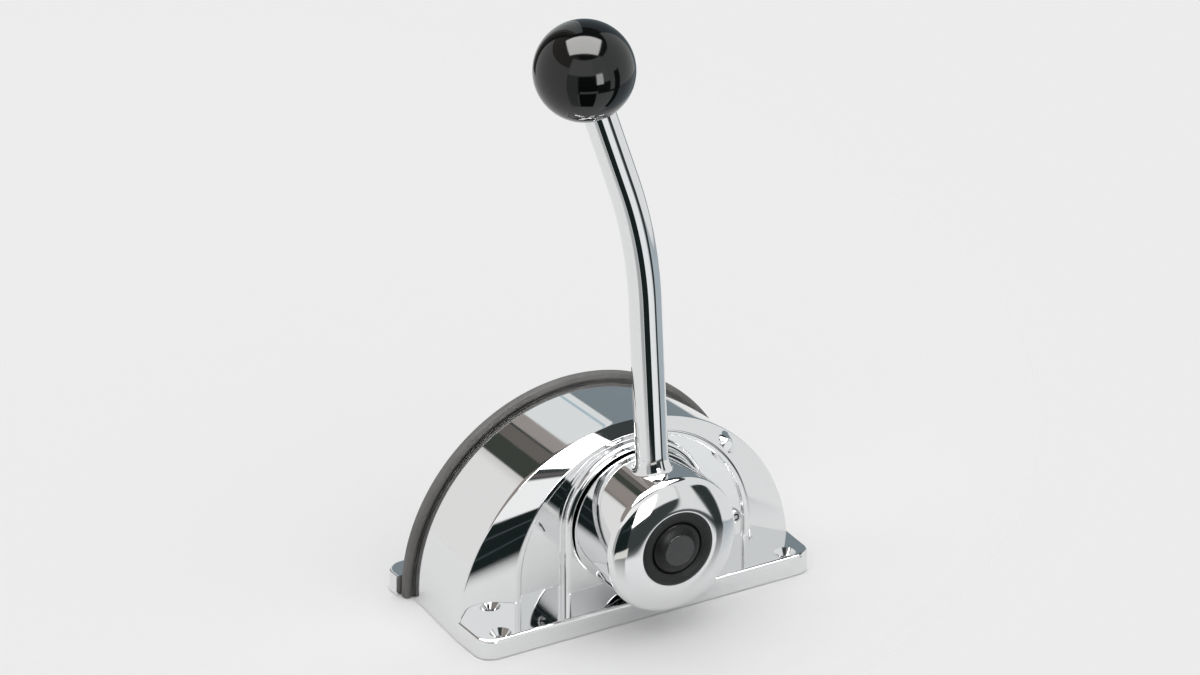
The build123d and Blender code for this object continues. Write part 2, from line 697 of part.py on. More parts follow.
# Hub barrel: a thick cap with a shallow crown, hollow behind, with pillars to its boss
with BuildPart() as hub_barrel:
    with BuildSketch(Plane.YZ):
        with BuildLine():
            Line((barrel_back_y, axis_z), (barrel_back_y, axis_z + barrel_radius))
            side = Line((barrel_back_y, axis_z + barrel_radius), (crown_start_y, axis_z + barrel_radius))
            turn = TangentArc(side @ 1, (crown_turn_y, axis_z + crown_turn_radius), tangent=side % 1)
            TangentArc(turn @ 1, (cap_front_y, axis_z + bezel_radius), tangent=turn % 1)
            Line((cap_front_y, axis_z + bezel_radius), (cap_front_y, axis_z))
            Line((cap_front_y, axis_z), (barrel_back_y, axis_z))
        make_face()
    revolve(axis=shaft_axis)
    fillet(edges_at(hub_barrel, barrel_back_y), barrel_edge_round)
    with BuildSketch(facing(barrel_back_y)):
        with Locations((0, axis_z)):
            Circle(barrel_radius - barrel_wall)
            Circle(barrel_boss_radius, mode=Mode.SUBTRACT)
    extrude(amount=barrel_back_y - barrel_front_y - barrel_web, mode=Mode.SUBTRACT)
    with BuildSketch(lever_plane.offset(barrel_boss_radius - rib_thickness)):
        Circle(socket_radius)
    extrude(amount=barrel_radius - barrel_boss_radius)
    with BuildSketch(grub_plane.offset(barrel_boss_radius - rib_thickness)):
        Circle(grub_pillar_radius)
    extrude(amount=barrel_radius - barrel_boss_radius)
    with BuildSketch(facing(bezel_seat_y)):
        with Locations((0, axis_z)):
            Circle(bezel_radius)
    extrude(amount=bezel_seat_y - cap_front_y, mode=Mode.SUBTRACT)
    with BuildSketch(facing(recess_floor_y)):
        with Locations((0, axis_z)):
            Circle(bezel_bore_radius)
    extrude(amount=recess_floor_y - bezel_seat_y, mode=Mode.SUBTRACT)
    with BuildSketch(facing(barrel_back_y)):
        with Locations((0, axis_z)):
            Circle(shaft_radius)
    extrude(amount=barrel_back_y - recess_floor_y, mode=Mode.SUBTRACT)
    with BuildSketch(lever_plane.offset(spigot_start)):
        Circle(spigot_radius)
    extrude(amount=barrel_radius, mode=Mode.SUBTRACT)
    with BuildSketch(grub_plane):
        Circle(grub_radius)
    extrude(amount=2 * barrel_radius, mode=Mode.SUBTRACT)
hub_barrel.part.label = "hub_barrel"
export_step(hub_barrel.part, "parts/hub_barrel.step")

# Lever: one bent bar, coped to the barrel, with a spigot below and a stud above
with BuildPart() as lever_arm:
    with BuildLine(facing(lever_y)) as lever_path:
        FilletPolyline(
            (lever_foot * sin(-lean), axis_z + lever_foot * cos(lean)),
            (bend_x, bend_z),
            (knob_x + knob_seat * sin(lean_top), knob_z - knob_seat * cos(lean_top)),
            radius=lever_bend_radius,
        )
    with BuildSketch(lever_plane.offset(lever_foot)):
        Circle(lever_radius)
    sweep(path=lever_path.wires()[0])
    with BuildSketch(facing(barrel_back_y)):
        with Locations((0, axis_z)):
            Circle(barrel_radius)
    extrude(amount=barrel_length, mode=Mode.SUBTRACT)
    with BuildSketch(lever_plane.offset(spigot_start)):
        Circle(spigot_radius)
    extrude(amount=barrel_radius + lever_radius - spigot_start)
    with BuildSketch(knob_plane.offset(-knob_seat)):
        Circle(stud_radius)
    extrude(amount=insert_length - stack_gap)
lever_arm.part.label = "lever_arm"
export_step(lever_arm.part, "parts/lever_arm.step")

# Knob and its threaded insert
with BuildPart() as knob:
    with Locations(knob_plane.location):
        Sphere(knob_radius)
    with BuildSketch(knob_plane.offset(-knob_seat)):
        Circle(knob_radius)
    extrude(amount=-knob_radius, mode=Mode.SUBTRACT)
    with BuildSketch(knob_plane.offset(-knob_seat)):
        Circle(insert_radius)
    extrude(amount=insert_length, mode=Mode.SUBTRACT)
knob.part.label = "knob"
export_step(knob.part, "parts/knob.step")

with BuildPart() as knob_insert:
    with BuildSketch(knob_plane.offset(-knob_seat)):
        Circle(insert_radius)
        Circle(stud_radius, mode=Mode.SUBTRACT)
    extrude(amount=insert_length - stack_gap)
    with BuildSketch(knob_plane.offset(insert_length - stack_gap - knob_seat)):
        Circle(insert_radius)
    extrude(amount=stack_gap)
knob_insert.part.label = "knob_insert"
export_step(knob_insert.part, "parts/knob_insert.step")

# Grub screw that clamps the barrel to the shaft
with BuildPart() as hub_grub_screw:
    with BuildSketch(grub_plane.offset(shaft_radius - clip_groove_depth)):
        Circle(grub_radius)
    extrude(amount=grub_length)
    with BuildSketch(grub_plane.offset(shaft_radius - clip_groove_depth + grub_length)):
        RegularPolygon(grub_radius * socket_share, 6)
    extrude(amount=-grub_radius, mode=Mode.SUBTRACT)
hub_grub_screw.part.label = "hub_grub_screw"
export_step(hub_grub_screw.part, "parts/hub_grub_screw.step")

# Bezel ring round the button
with BuildPart() as button_bezel:
    with BuildSketch(Plane.YZ):
        with BuildLine():
            Line((bezel_seat_y, axis_z + bezel_bore_radius), (bezel_seat_y, axis_z + bezel_radius))
            Line((bezel_seat_y, axis_z + bezel_radius), (cap_front_y, axis_z + bezel_radius))
            ThreePointArc(
                (cap_front_y, axis_z + bezel_radius),
                (bezel_seat_y - bezel_height, axis_z + (bezel_radius + bezel_bore_radius) / 2),
                (cap_front_y, axis_z + bezel_bore_radius),
            )
            Line((cap_front_y, axis_z + bezel_bore_radius), (bezel_seat_y, axis_z + bezel_bore_radius))
        make_face()
    revolve(axis=shaft_axis)
button_bezel.part.label = "button_bezel"
export_step(button_bezel.part, "parts/button_bezel.step")

# Push button: a domed cap with a skirt round its spring
with BuildPart() as push_button:
    with BuildSketch(Plane.YZ):
        with BuildLine():
            Line((button_front_y, axis_z), (button_front_y, axis_z + disc_radius))
            Spline(
                (button_front_y, axis_z + disc_radius),
                (button_edge_y, axis_z + button_radius),
                tangents=[(button_lead_in, 1), (1, 0)],
            )
            Line((button_edge_y, axis_z + button_radius), (button_back_y, axis_z + button_radius))
            Line((button_back_y, axis_z + button_radius), (button_back_y, axis_z + button_inner_radius))
            Line((button_back_y, axis_z + button_inner_radius), (button_web_y, axis_z + button_inner_radius))
            Line((button_web_y, axis_z + button_inner_radius), (button_web_y, axis_z))
            Line((button_web_y, axis_z), (button_front_y, axis_z))
        make_face()
    revolve(axis=shaft_axis)
    with BuildSketch(facing(button_front_y)):
        with Locations((0, axis_z)):
            Circle(disc_radius)
    extrude(amount=-disc_seat, mode=Mode.SUBTRACT)
push_button.part.label = "push_button"
export_step(push_button.part, "parts/push_button.step")

with BuildPart() as button_disc:
    with BuildSketch(facing(button_front_y + disc_seat)):
        with Locations((0, axis_z)):
            Circle(disc_radius)
    extrude(amount=disc_thickness)
    fillet(button_disc.faces().sort_by(Axis.Y)[0].edges(), disc_thickness / 3)
button_disc.part.label = "button_disc"
export_step(button_disc.part, "parts/button_disc.step")

# Push rod with the clutch pin across its end
with BuildPart() as push_rod:
    with BuildSketch(facing(push_rod_end_y)):
        with Locations((0, axis_z)):
            Circle(push_rod_radius)
    extrude(amount=push_rod_end_y - button_web_y)
    with BuildSketch(Plane.YZ.offset(-shaft_radius)):
        with Locations((clutch_pin_y, axis_z)):
            Circle(clutch_pin_radius)
    extrude(amount=2 * shaft_radius, mode=Mode.SUBTRACT)
push_rod.part.label = "push_rod"
export_step(push_rod.part, "parts/push_rod.step")

with BuildPart() as clutch_pin:
    with BuildSketch(Plane.YZ.offset(-clutch_reach)):
        with Locations((clutch_pin_y, axis_z)):
            Circle(clutch_pin_radius)
    extrude(amount=2 * clutch_reach)
clutch_pin.part.label = "clutch_pin"
export_step(clutch_pin.part, "parts/clutch_pin.step")

# Return spring of the button
with BuildPart() as button_spring:
    with BuildLine() as spring_line:
        Helix(
            spring_pitch,
            spring_pitch * spring_turns,
            spring_radius,
            center=(0, spring_back_y, axis_z),
            direction=(0, -1, 0),
        )
    with BuildSketch(Plane(origin=spring_line.wires()[0] @ 0, z_dir=spring_line.wires()[0] % 0)):
        Circle(spring_wire)
    sweep(is_frenet=True)
button_spring.part.label = "button_spring"
export_step(button_spring.part, "parts/button_spring.step")

# Pinion: keyed to the shaft by the clutch pin, free of it when the button is pushed
with BuildPart() as shift_pinion:
    with BuildSketch(facing(pinion_back_y)):
        with Locations((0, axis_z)):
            add(gear_outline(pinion_teeth, mesh_angle + 180 / pinion_teeth, pinion_teeth))
            Circle(shaft_radius + running_gap, mode=Mode.SUBTRACT)
    extrude(amount=pinion_width)
    with BuildSketch(facing(pinion_front_y)):
        with Locations((0, axis_z)):
            Rectangle(2 * clutch_relief, 2 * clutch_slot_half)
    extrude(amount=-pinion_width / 2, mode=Mode.SUBTRACT)
    with BuildSketch(facing(pinion_back_y)):
        with Locations((0, axis_z)):
            Circle(clutch_relief)
    extrude(amount=pinion_width / 2, mode=Mode.SUBTRACT)
shift_pinion.part.label = "shift_pinion"
export_step(shift_pinion.part, "parts/shift_pinion.step")

# Brake drum and throttle crank, each fixed to the shaft by a roll pin
with BuildPart() as brake_drum:
    with BuildSketch(facing(drum_back_y)):
        with Locations((0, axis_z)):
            Circle(drum_radius)
            Circle(shaft_radius, mode=Mode.SUBTRACT)
    extrude(amount=drum_width)
    with BuildSketch(Plane.XY.offset(axis_z - 2 * drum_radius)):
        with Locations((0, drum_pin_y)):
            Circle(roll_pin_radius)
    extrude(amount=4 * drum_radius, mode=Mode.SUBTRACT)
brake_drum.part.label = "brake_drum"
export_step(brake_drum.part, "parts/brake_drum.step")

with BuildPart() as throttle_crank:
    with BuildSketch(facing(crank_back_y)) as crank_outline:
        with Locations((0, axis_z)):
            Circle(crank_hub_radius)
        with Locations((0, throttle_pin_z)):
            Circle(arm_end_radius)
        make_hull()
        with Locations((0, axis_z)):
            Circle(shaft_radius, mode=Mode.SUBTRACT)
        with Locations((0, throttle_pin_z)):
            Circle(pivot_radius, mode=Mode.SUBTRACT)
    extrude(amount=crank_width)
    with BuildSketch(Plane.XY.offset(axis_z)):
        with Locations((0, crank_pin_y)):
            Circle(roll_pin_radius)
    extrude(amount=2 * crank_hub_radius, mode=Mode.SUBTRACT)
throttle_crank.part.label = "throttle_crank"
export_step(throttle_crank.part, "parts/throttle_crank.step")

with BuildPart() as roll_pins:
    with BuildSketch(Plane.XY.offset(axis_z - drum_radius + stack_gap)):
        with Locations((0, drum_pin_y)):
            Circle(roll_pin_radius)
    extrude(amount=2 * drum_radius - 2 * stack_gap)
    with BuildSketch(Plane.XY.offset(axis_z - shaft_radius + stack_gap)):
        with Locations((0, crank_pin_y)):
            Circle(roll_pin_radius)
    extrude(amount=shaft_radius + crank_hub_radius - 2 * stack_gap)
roll_pins.part.label = "roll_pins"
export_step(roll_pins.part, "parts/roll_pins.step")

# Shift gear: a toothed sector with its hub, on a stud in the front housing
with BuildPart() as shift_stud:
    with BuildSketch(facing(shift_stud_end_y)):
        with Locations((shift_x, shift_z)):
            Circle(stud_pin_radius)
    extrude(amount=shift_stud_end_y - front_boss_back_y + stud_seat_depth)
    with BuildSketch(facing(sector_front_y - washer_clearance)):
        with Locations((shift_x, shift_z)):
            Circle(stud_pin_radius + shell_wall)
    extrude(amount=sector_front_y - washer_clearance - front_boss_back_y)
    with BuildSketch(facing(shift_clip_y + clip_thickness)):
        with Locations((shift_x, shift_z)):
            Circle(2 * stud_pin_radius)
            Circle(stud_pin_radius - clip_groove_depth, mode=Mode.SUBTRACT)
    extrude(amount=clip_thickness, mode=Mode.SUBTRACT)
shift_stud.part.label = "shift_stud"
export_step(shift_stud.part, "parts/shift_stud.step")

with BuildPart() as shift_stud_clip:
    with BuildSketch(facing(shift_clip_y + clip_thickness)):
        with Locations((shift_x, shift_z)):
            Circle(stud_pin_radius + clip_step)
            Circle(stud_pin_radius - clip_groove_depth, mode=Mode.SUBTRACT)
            with Locations((0, stud_pin_radius)):
                Rectangle(stud_pin_radius, 2 * stud_pin_radius, mode=Mode.SUBTRACT)
    extrude(amount=clip_thickness)
shift_stud_clip.part.label = "shift_stud_clip"
export_step(shift_stud_clip.part, "parts/shift_stud_clip.step")

with BuildPart() as shift_gear:
    with BuildSketch(facing(sector_back_y)):
        with Locations((shift_x, shift_z)):
            add(gear_outline(sector_teeth, sector_first_angle, 2 * sector_side_teeth + 1))
            add(slice_of(sector_reach, mesh_angle - 180, sector_half_angle), mode=Mode.INTERSECT)
            Circle(sector_hub_radius)
            Circle(stud_pin_radius + running_gap, mode=Mode.SUBTRACT)
            with PolarLocations(rivet_circle, 2, mesh_angle - 90):
                Circle(rivet_radius, mode=Mode.SUBTRACT)
    extrude(amount=sector_width)
shift_gear.part.label = "shift_gear"
export_step(shift_gear.part, "parts/shift_gear.step")

with BuildPart() as shift_arm:
    with BuildSketch(facing(shift_arm_back_y)):
        with Locations((shift_x, shift_z)):
            Circle(sector_hub_radius)
        with Locations((shift_pin_x, shift_pin_z)):
            Circle(arm_end_radius)
        make_hull()
        with Locations((shift_pin_x, shift_pin_z)):
            Circle(pivot_radius, mode=Mode.SUBTRACT)
        with Locations((shift_x, shift_z)):
            Circle(stud_pin_radius + running_gap, mode=Mode.SUBTRACT)
            with PolarLocations(rivet_circle, 2, mesh_angle - 90):
                Circle(rivet_radius, mode=Mode.SUBTRACT)
    extrude(amount=arm_thickness)
shift_arm.part.label = "shift_arm"
export_step(shift_arm.part, "parts/shift_arm.step")

with BuildPart() as arm_rivets:
    with BuildSketch(facing(shift_arm_back_y)):
        with Locations((shift_x, shift_z)):
            with PolarLocations(rivet_circle, 2, mesh_angle - 90):
                Circle(rivet_radius)
    extrude(amount=arm_thickness + sector_width)
arm_rivets.part.label = "arm_rivets"
export_step(arm_rivets.part, "parts/arm_rivets.step")

# Pivots for the two cable ends: a headed pin, its clip, a swivelling trunnion and its wire screw
pivots = [
    ("throttle", 0.0, throttle_pin_z, crank_front_y, crank_back_y),
    ("shift", shift_pin_x, shift_pin_z, sector_back_y, shift_arm_back_y),
]
for side_name, pin_x, pin_z, plate_front_y, plate_back_y in pivots:
    trunnion_front_y = plate_back_y + pivot_gap
    trunnion_back_y = trunnion_front_y + trunnion_width
    trunnion_middle_y = (trunnion_front_y + trunnion_back_y) / 2
    with BuildPart() as pivot_pin:
        with BuildSketch(facing(trunnion_back_y + pivot_gap + clip_thickness + clip_groove_depth)):
            with Locations((pin_x, pin_z)):
                Circle(pivot_radius)
        extrude(amount=trunnion_back_y + pivot_gap + clip_thickness + clip_groove_depth - plate_front_y)
        with BuildSketch(facing(plate_front_y)):
            with Locations((pin_x, pin_z)):
                Circle(pivot_head_radius)
        extrude(amount=pivot_head_height)
        with BuildSketch(facing(trunnion_back_y + pivot_gap + clip_thickness)):
            with Locations((pin_x, pin_z)):
                Circle(2 * pivot_radius)
                Circle(pivot_radius - clip_groove_depth, mode=Mode.SUBTRACT)
        extrude(amount=clip_thickness, mode=Mode.SUBTRACT)
    pivot_pin.part.label = f"{side_name}_pivot_pin"
    export_step(pivot_pin.part, f"parts/{side_name}_pivot_pin.step")

    with BuildPart() as pivot_clip:
        with BuildSketch(facing(trunnion_back_y + pivot_gap + clip_thickness)):
            with Locations((pin_x, pin_z)):
                Circle(pivot_radius + clip_step)
                Circle(pivot_radius - clip_groove_depth, mode=Mode.SUBTRACT)
                with Locations((0, pivot_radius)):
                    Rectangle(pivot_radius, 2 * pivot_radius, mode=Mode.SUBTRACT)
        extrude(amount=clip_thickness)
    pivot_clip.part.label = f"{side_name}_pivot_clip"
    export_step(pivot_clip.part, f"parts/{side_name}_pivot_clip.step")

    with BuildPart() as trunnion:
        with BuildSketch(facing(trunnion_back_y)):
            with Locations((pin_x, pin_z)):
                Circle(trunnion_radius)
        extrude(amount=trunnion_width)
        with BuildSketch(Plane.XY.offset(pin_z - trunnion_reach)):
            with Locations((pin_x, trunnion_middle_y)):
                Circle(trunnion_stem_radius)
        extrude(amount=trunnion_reach)
        with BuildSketch(facing(trunnion_back_y)):
            with Locations((pin_x, pin_z)):
                Circle(pivot_radius + running_gap)
        extrude(amount=trunnion_width, mode=Mode.SUBTRACT)
        with BuildSketch(Plane.XY.offset(pin_z - trunnion_reach)):
            with Locations((pin_x, trunnion_middle_y)):
                Circle(wire_radius)
        extrude(amount=trunnion_reach - pivot_radius - stack_gap, mode=Mode.SUBTRACT)
        with BuildSketch(Plane.YZ.offset(pin_x)):
            with Locations((trunnion_middle_y, pin_z - wire_screw_drop)):
                Circle(wire_radius)
        extrude(amount=2 * trunnion_stem_radius, mode=Mode.SUBTRACT)
    trunnion.part.label = f"{side_name}_trunnion"
    export_step(trunnion.part, f"parts/{side_name}_trunnion.step")

    with BuildPart() as wire_screw:
        with BuildSketch(Plane.YZ.offset(pin_x + wire_radius + running_gap)):
            with Locations((trunnion_middle_y, pin_z - wire_screw_drop)):
                Circle(wire_radius)
        extrude(amount=wire_screw_length)
        with BuildSketch(Plane.YZ.offset(pin_x + wire_radius + running_gap + wire_screw_length)):
            with Locations((trunnion_middle_y, pin_z - wire_screw_drop)):
                Rectangle(2 * wire_radius, wire_radius / 2)
        extrude(amount=-wire_radius / 2, mode=Mode.SUBTRACT)
    wire_screw.part.label = f"{side_name}_wire_screw"
    export_step(wire_screw.part, f"parts/{side_name}_wire_screw.step")

# Cable bracket: a plate screwed to the rear cover, with a shelf welded to it under each trunnion
with BuildPart() as cable_bracket:
    with BuildSketch(facing(cover_front_y)):
        with Locations(((bracket_right - bracket_left) / 2, bracket_shelf_z + bracket_height / 2)):
            Rectangle(bracket_left + bracket_right, bracket_height)
        with Locations(*bracket_screws_at):
            Circle(cover_screw_radius + cover_screw_clearance, mode=Mode.SUBTRACT)
    extrude(amount=bracket_thickness)
cable_bracket.part.label = "cable_bracket"
export_step(cable_bracket.part, "parts/cable_bracket.step")

with BuildPart() as gland_shelves:
    with BuildSketch(Plane.XY.offset(bracket_shelf_z)):
        for gland_x, gland_y in glands_at:
            shelf_front_y = gland_y - bracket_arm_reach
            with Locations((gland_x, (bracket_front_y + shelf_front_y) / 2)):
                Rectangle(2 * bracket_arm_half, bracket_front_y - shelf_front_y)
        with Locations(*glands_at):
            Circle(gland_radius, mode=Mode.SUBTRACT)
    extrude(amount=bracket_thickness)
gland_shelves.part.label = "gland_shelves"
export_step(gland_shelves.part, "parts/gland_shelves.step")

with BuildPart() as cable_glands:
    with BuildSketch(Plane.XY.offset(bracket_shelf_z)):
        with Locations(*glands_at):
            Circle(gland_radius)
    extrude(amount=bracket_thickness + gland_rise)
    with BuildSketch(Plane.XY.offset(bracket_shelf_z - gland_flange_height)):
        with Locations(*glands_at):
            RegularPolygon(gland_flange_radius, 6)
    extrude(amount=gland_flange_height)
    with BuildSketch(Plane.XY):
        with Locations(*glands_at):
            Circle(gland_bore_radius)
    extrude(amount=bracket_height, mode=Mode.SUBTRACT)
cable_glands.part.label = "cable_glands"
export_step(cable_glands.part, "parts/cable_glands.step")

with BuildPart() as bracket_screws:
    with BuildSketch(facing(cover_front_y + bracket_screw_depth)):
        with Locations(*bracket_screws_at):
            Circle(cover_screw_radius)
    extrude(amount=bracket_screw_depth + bracket_thickness)
    with BuildSketch(facing(cover_front_y - bracket_thickness)):
        with Locations(*bracket_screws_at):
            Circle(cover_screw_head_radius)
    extrude(amount=cover_screw_head_height)
    with BuildSketch(facing(cover_front_y - bracket_thickness - cover_screw_head_height)):
        with Locations(*bracket_screws_at):
            RegularPolygon(cover_screw_radius, 6)
    extrude(amount=-cover_screw_head_height / 2, mode=Mode.SUBTRACT)
bracket_screws.part.label = "bracket_screws"
export_step(bracket_screws.part, "parts/bracket_screws.step")

# Friction brake: a pad on a sprung arm, held against the drum by a screw through the face
with BuildPart() as brake_arm:
    with BuildSketch(facing(brake_back_y)):
        with Locations((brake_arm_x, axis_z + brake_arm_z)):
            Circle(brake_arm_band / 2)
        with Locations((friction_x, friction_z)):
            Circle(friction_post_radius)
        make_hull()
        with Locations((0, axis_z)):
            add(slice_of(brake_outer_radius, brake_angle, brake_pad_arc / 2))
            Circle(brake_inner_radius, mode=Mode.SUBTRACT)
        with Locations((friction_x, friction_z)):
            Circle(friction_screw_radius, mode=Mode.SUBTRACT)
    extrude(amount=brake_width)
brake_arm.part.label = "brake_arm"
export_step(brake_arm.part, "parts/brake_arm.step")

with BuildPart() as brake_pad:
    with BuildSketch(facing(brake_back_y)):
        with Locations((0, axis_z)):
            add(slice_of(brake_inner_radius, brake_angle, brake_pad_arc / 2))
            Circle(drum_radius + brake_gap, mode=Mode.SUBTRACT)
    extrude(amount=brake_width)
brake_pad.part.label = "brake_pad"
export_step(brake_pad.part, "parts/brake_pad.step")

with BuildPart() as friction_screw:
    with BuildSketch(facing(brake_back_y + friction_nut_height + face_gap)):
        with Locations((friction_x, friction_z)):
            Circle(friction_screw_radius)
    extrude(amount=brake_back_y + friction_nut_height + face_gap - panel_y)
    with BuildSketch(facing(panel_y)):
        with Locations((friction_x, friction_z)):
            Circle(friction_head_radius)
    extrude(amount=friction_head_height)
    fillet(friction_screw.faces().sort_by(Axis.Y)[0].edges(), friction_head_round)
    with BuildSketch(facing(panel_y - friction_head_height)):
        with Locations((friction_x, friction_z)):
            RegularPolygon(friction_screw_radius * socket_share, 6)
    extrude(amount=-friction_head_height / 2, mode=Mode.SUBTRACT)
friction_screw.part.label = "friction_screw"
export_step(friction_screw.part, "parts/friction_screw.step")

with BuildPart() as friction_nut:
    with BuildSketch(facing(brake_back_y + friction_nut_height)):
        with Locations((friction_x, friction_z)):
            RegularPolygon(friction_nut_radius, 6)
            Circle(friction_screw_radius, mode=Mode.SUBTRACT)
    extrude(amount=friction_nut_height)
friction_nut.part.label = "friction_nut"
export_step(friction_nut.part, "parts/friction_nut.step")
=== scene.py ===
import json
import math

import bmesh
import bpy
import numpy as np
from mathutils import Matrix, Vector


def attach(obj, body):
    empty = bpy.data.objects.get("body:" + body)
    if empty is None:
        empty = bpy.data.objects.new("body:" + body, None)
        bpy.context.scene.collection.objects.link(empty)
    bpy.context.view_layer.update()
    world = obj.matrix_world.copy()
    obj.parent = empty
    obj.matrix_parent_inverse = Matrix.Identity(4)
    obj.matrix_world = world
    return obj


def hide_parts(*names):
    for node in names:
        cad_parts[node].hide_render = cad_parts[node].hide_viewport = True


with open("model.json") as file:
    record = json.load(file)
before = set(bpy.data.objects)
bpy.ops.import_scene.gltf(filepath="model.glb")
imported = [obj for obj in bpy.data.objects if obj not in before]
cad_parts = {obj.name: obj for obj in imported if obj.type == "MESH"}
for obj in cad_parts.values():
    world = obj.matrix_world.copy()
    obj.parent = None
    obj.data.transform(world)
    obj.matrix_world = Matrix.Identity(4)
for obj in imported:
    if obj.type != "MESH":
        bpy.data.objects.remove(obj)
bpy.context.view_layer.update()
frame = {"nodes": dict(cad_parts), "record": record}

# Sizes of the object, in millimetres, as in the construction model
AXIS_Z = 50.0
# The housing: dome, shoulder, raised lip, face panel and collar
DOME_SPRING = 3.0
DOME_RADIUS = 93.0
DOME_BACK_RADIUS = 89.0
DOME_BACK_Y = 28.5
RIM_Y = -21.5
FACE_HALF = 65.5
FACE_SPRING = 28.0
FACE_Y = -31.0
PANEL_Y = -29.0
LIP_WIDTH = 3.0
COLLAR_RADIUS = 39.5
COLLAR_Y = -34.0
WALL = 3.5
SHOULDER_WALL = 4.0
# How far the rounding of an edge reaches from its corner
FINE_EDGE = 0.2
SOFT_EDGE = 0.3
FULL_EDGE = 0.4
RIM_ROUND = 1.9
LIP_ROUND = 1.1
LIP_INNER_ROUND = 0.9
PANEL_ROUND = 0.6
COLLAR_FOOT_ROUND = 1.0
COLLAR_ROUND = 3.1
INNER_RIM_ROUND = 2.0
INNER_FACE_ROUND = 1.5
# Posts and bosses inside the housing, each place as (x, z)
COVER_POST_RADIUS = 5.0
SIDE_POST = (78.0, 16.0)
SIDE_POST_ROOT_Y = -22.0
TOP_POST = (34.0, 74.05)
BOSS_ROOT_Y = -26.0
BOSS_BACK_Y = -16.0
SHAFT_BOSS_RADIUS = 15.0
SHAFT_BOSS_BORE = 10.0
SHAFT_BOSS_ROUND = 0.8
SHAFT_BORE_FRONT_Y = -30.0
STUD_BOSS = (-42.38, 34.575)
STUD_BOSS_RADIUS = 7.5
STUD_BORE = 4.0
FRICTION_SCREW = (57.5, 32.0)
FRICTION_BOSS_RADIUS = 6.0
FRICTION_BOSS_BACK_Y = -4.5
FRICTION_BORE = 2.0
# The head of the friction screw
FRICTION_HEAD_RADIUS = 3.4
FRICTION_HEAD_Y = -31.6
FRICTION_HEAD_DOME = 1.56
FRICTION_HEAD_SINK = 0.2
FRICTION_HEAD_EDGE = 0.1
# The screw lug on the shoulder
LUG_X = 54.5
LUG_Z = 71.8
LUG_FACE = 2.4
LUG_FOOT_OUTER = 4.6
LUG_FOOT_INNER = 9.0
LUG_TOP_Y = -29.6
LUG_SINK = 0.15
LUG_FACE_RINGS = 4
LUG_FACE_SHARE = 0.9
# The flanges and their countersunk mounting holes
FLANGE_TOP = 10.5
FLANGE_FRONT_Y = -46.5
FLANGE_HALF = 93.0
FLANGE_CORNER = 9.0
FLANGE_ROUND = 2.0
FLANGE_EDGE_RUN = 7.5
REAR_FLANGE_HALF = 95.0
REAR_FLANGE_FRONT_Y = 34.0
REAR_FLANGE_BACK_Y = 47.5
REAR_FLANGE_ROUND = 1.4
MOUNT_X = 80.0
MOUNT_Y = 40.5
HOLE_RADIUS = 2.75
SINK_RADIUS = 5.4
SINK_ANGLE = math.radians(41)
SINK_CLEAR = 2.0
# The rubber strip and the rear cover
STRIP_INNER = 88.5
STRIP_OUTER = 93.0
STRIP_FRONT_Y = 28.5
STRIP_BACK_Y = 34.0
STRIP_GROOVE = 2.6
STRIP_GROOVE_WIDTH = 0.9
STRIP_SEAM = 2.0
STRIP_FRONT_ROUND = 2.0
STRIP_BACK_ROUND = 2.4
COVER_FRONT_Y = 31.0
COVER_BACK_Y = 35.0
COVER_BEVEL = 1.0
COVER_BOSS_RADIUS = 12.0
COVER_BOSS_BORE = 9.0
COVER_BOSS_FRONT_Y = 22.0
COVER_BOSS_ROUND = 0.5
# The hub barrel, its recess and the hole of its grub screw
BARREL_RADIUS = 35.7
BARREL_BACK_Y = -35.5
BARREL_FRONT_Y = -67.3
BARREL_RIM_START = 1.0
BARREL_RIM_ROUND = 4.6
BARREL_RIM_TURN = math.radians(65)
BARREL_WALL = 4.5
BARREL_WEB = 10.0
BARREL_BOSS_RADIUS = 14.0
BARREL_INNER_ROUND = 1.0
BARREL_BACK_ROUND = 0.9
SHAFT_RADIUS = 7.0
CAP_FRONT_Y = -73.5
RECESS_Y = -61.0
RECESS_ROUND = 0.5
RECESS_CLEAR = 0.05
RECESS_LEAD = 0.01
GRUB_ANGLE = math.radians(202)
GRUB_Y = -58.3
GRUB_RADIUS = 2.5
GRUB_MOUTH = 3.9
GRUB_CHAMFER = 0.45
GRUB_DEPTH = 4.0
GRUB_CLEAR = 1.0
# The lever bar. The stations are rings on its lower run, by their height above the hub's axis
LEVER_Y = -52.0
LEVER_RADIUS = 8.1
LEVER_LEAN = math.radians(2.6)
LEVER_BEND = math.radians(15.4)
LEVER_BEND_HEIGHT = 162.0
LEVER_BEND_RADIUS = 260.0
LEVER_UPPER_RUN = 104.6
LEVER_STATIONS = (29.0, 60.0, 110.0)
LEVER_LAST_STATION = 20.0
LEVER_IN_KNOB = 0.5
FOOT_FLARE = 2.4
FOOT_HEIGHT = 8.0
FOOT_SINK = 0.06
# The ball knob
KNOB_RADIUS = 25.0
KNOB_FLAT_RADIUS = 9.0
KNOB_FLAT_ROUND = 0.5
KNOB_SOCKET_RADIUS = 4.2
KNOB_SOCKET_DEPTH = 17.0
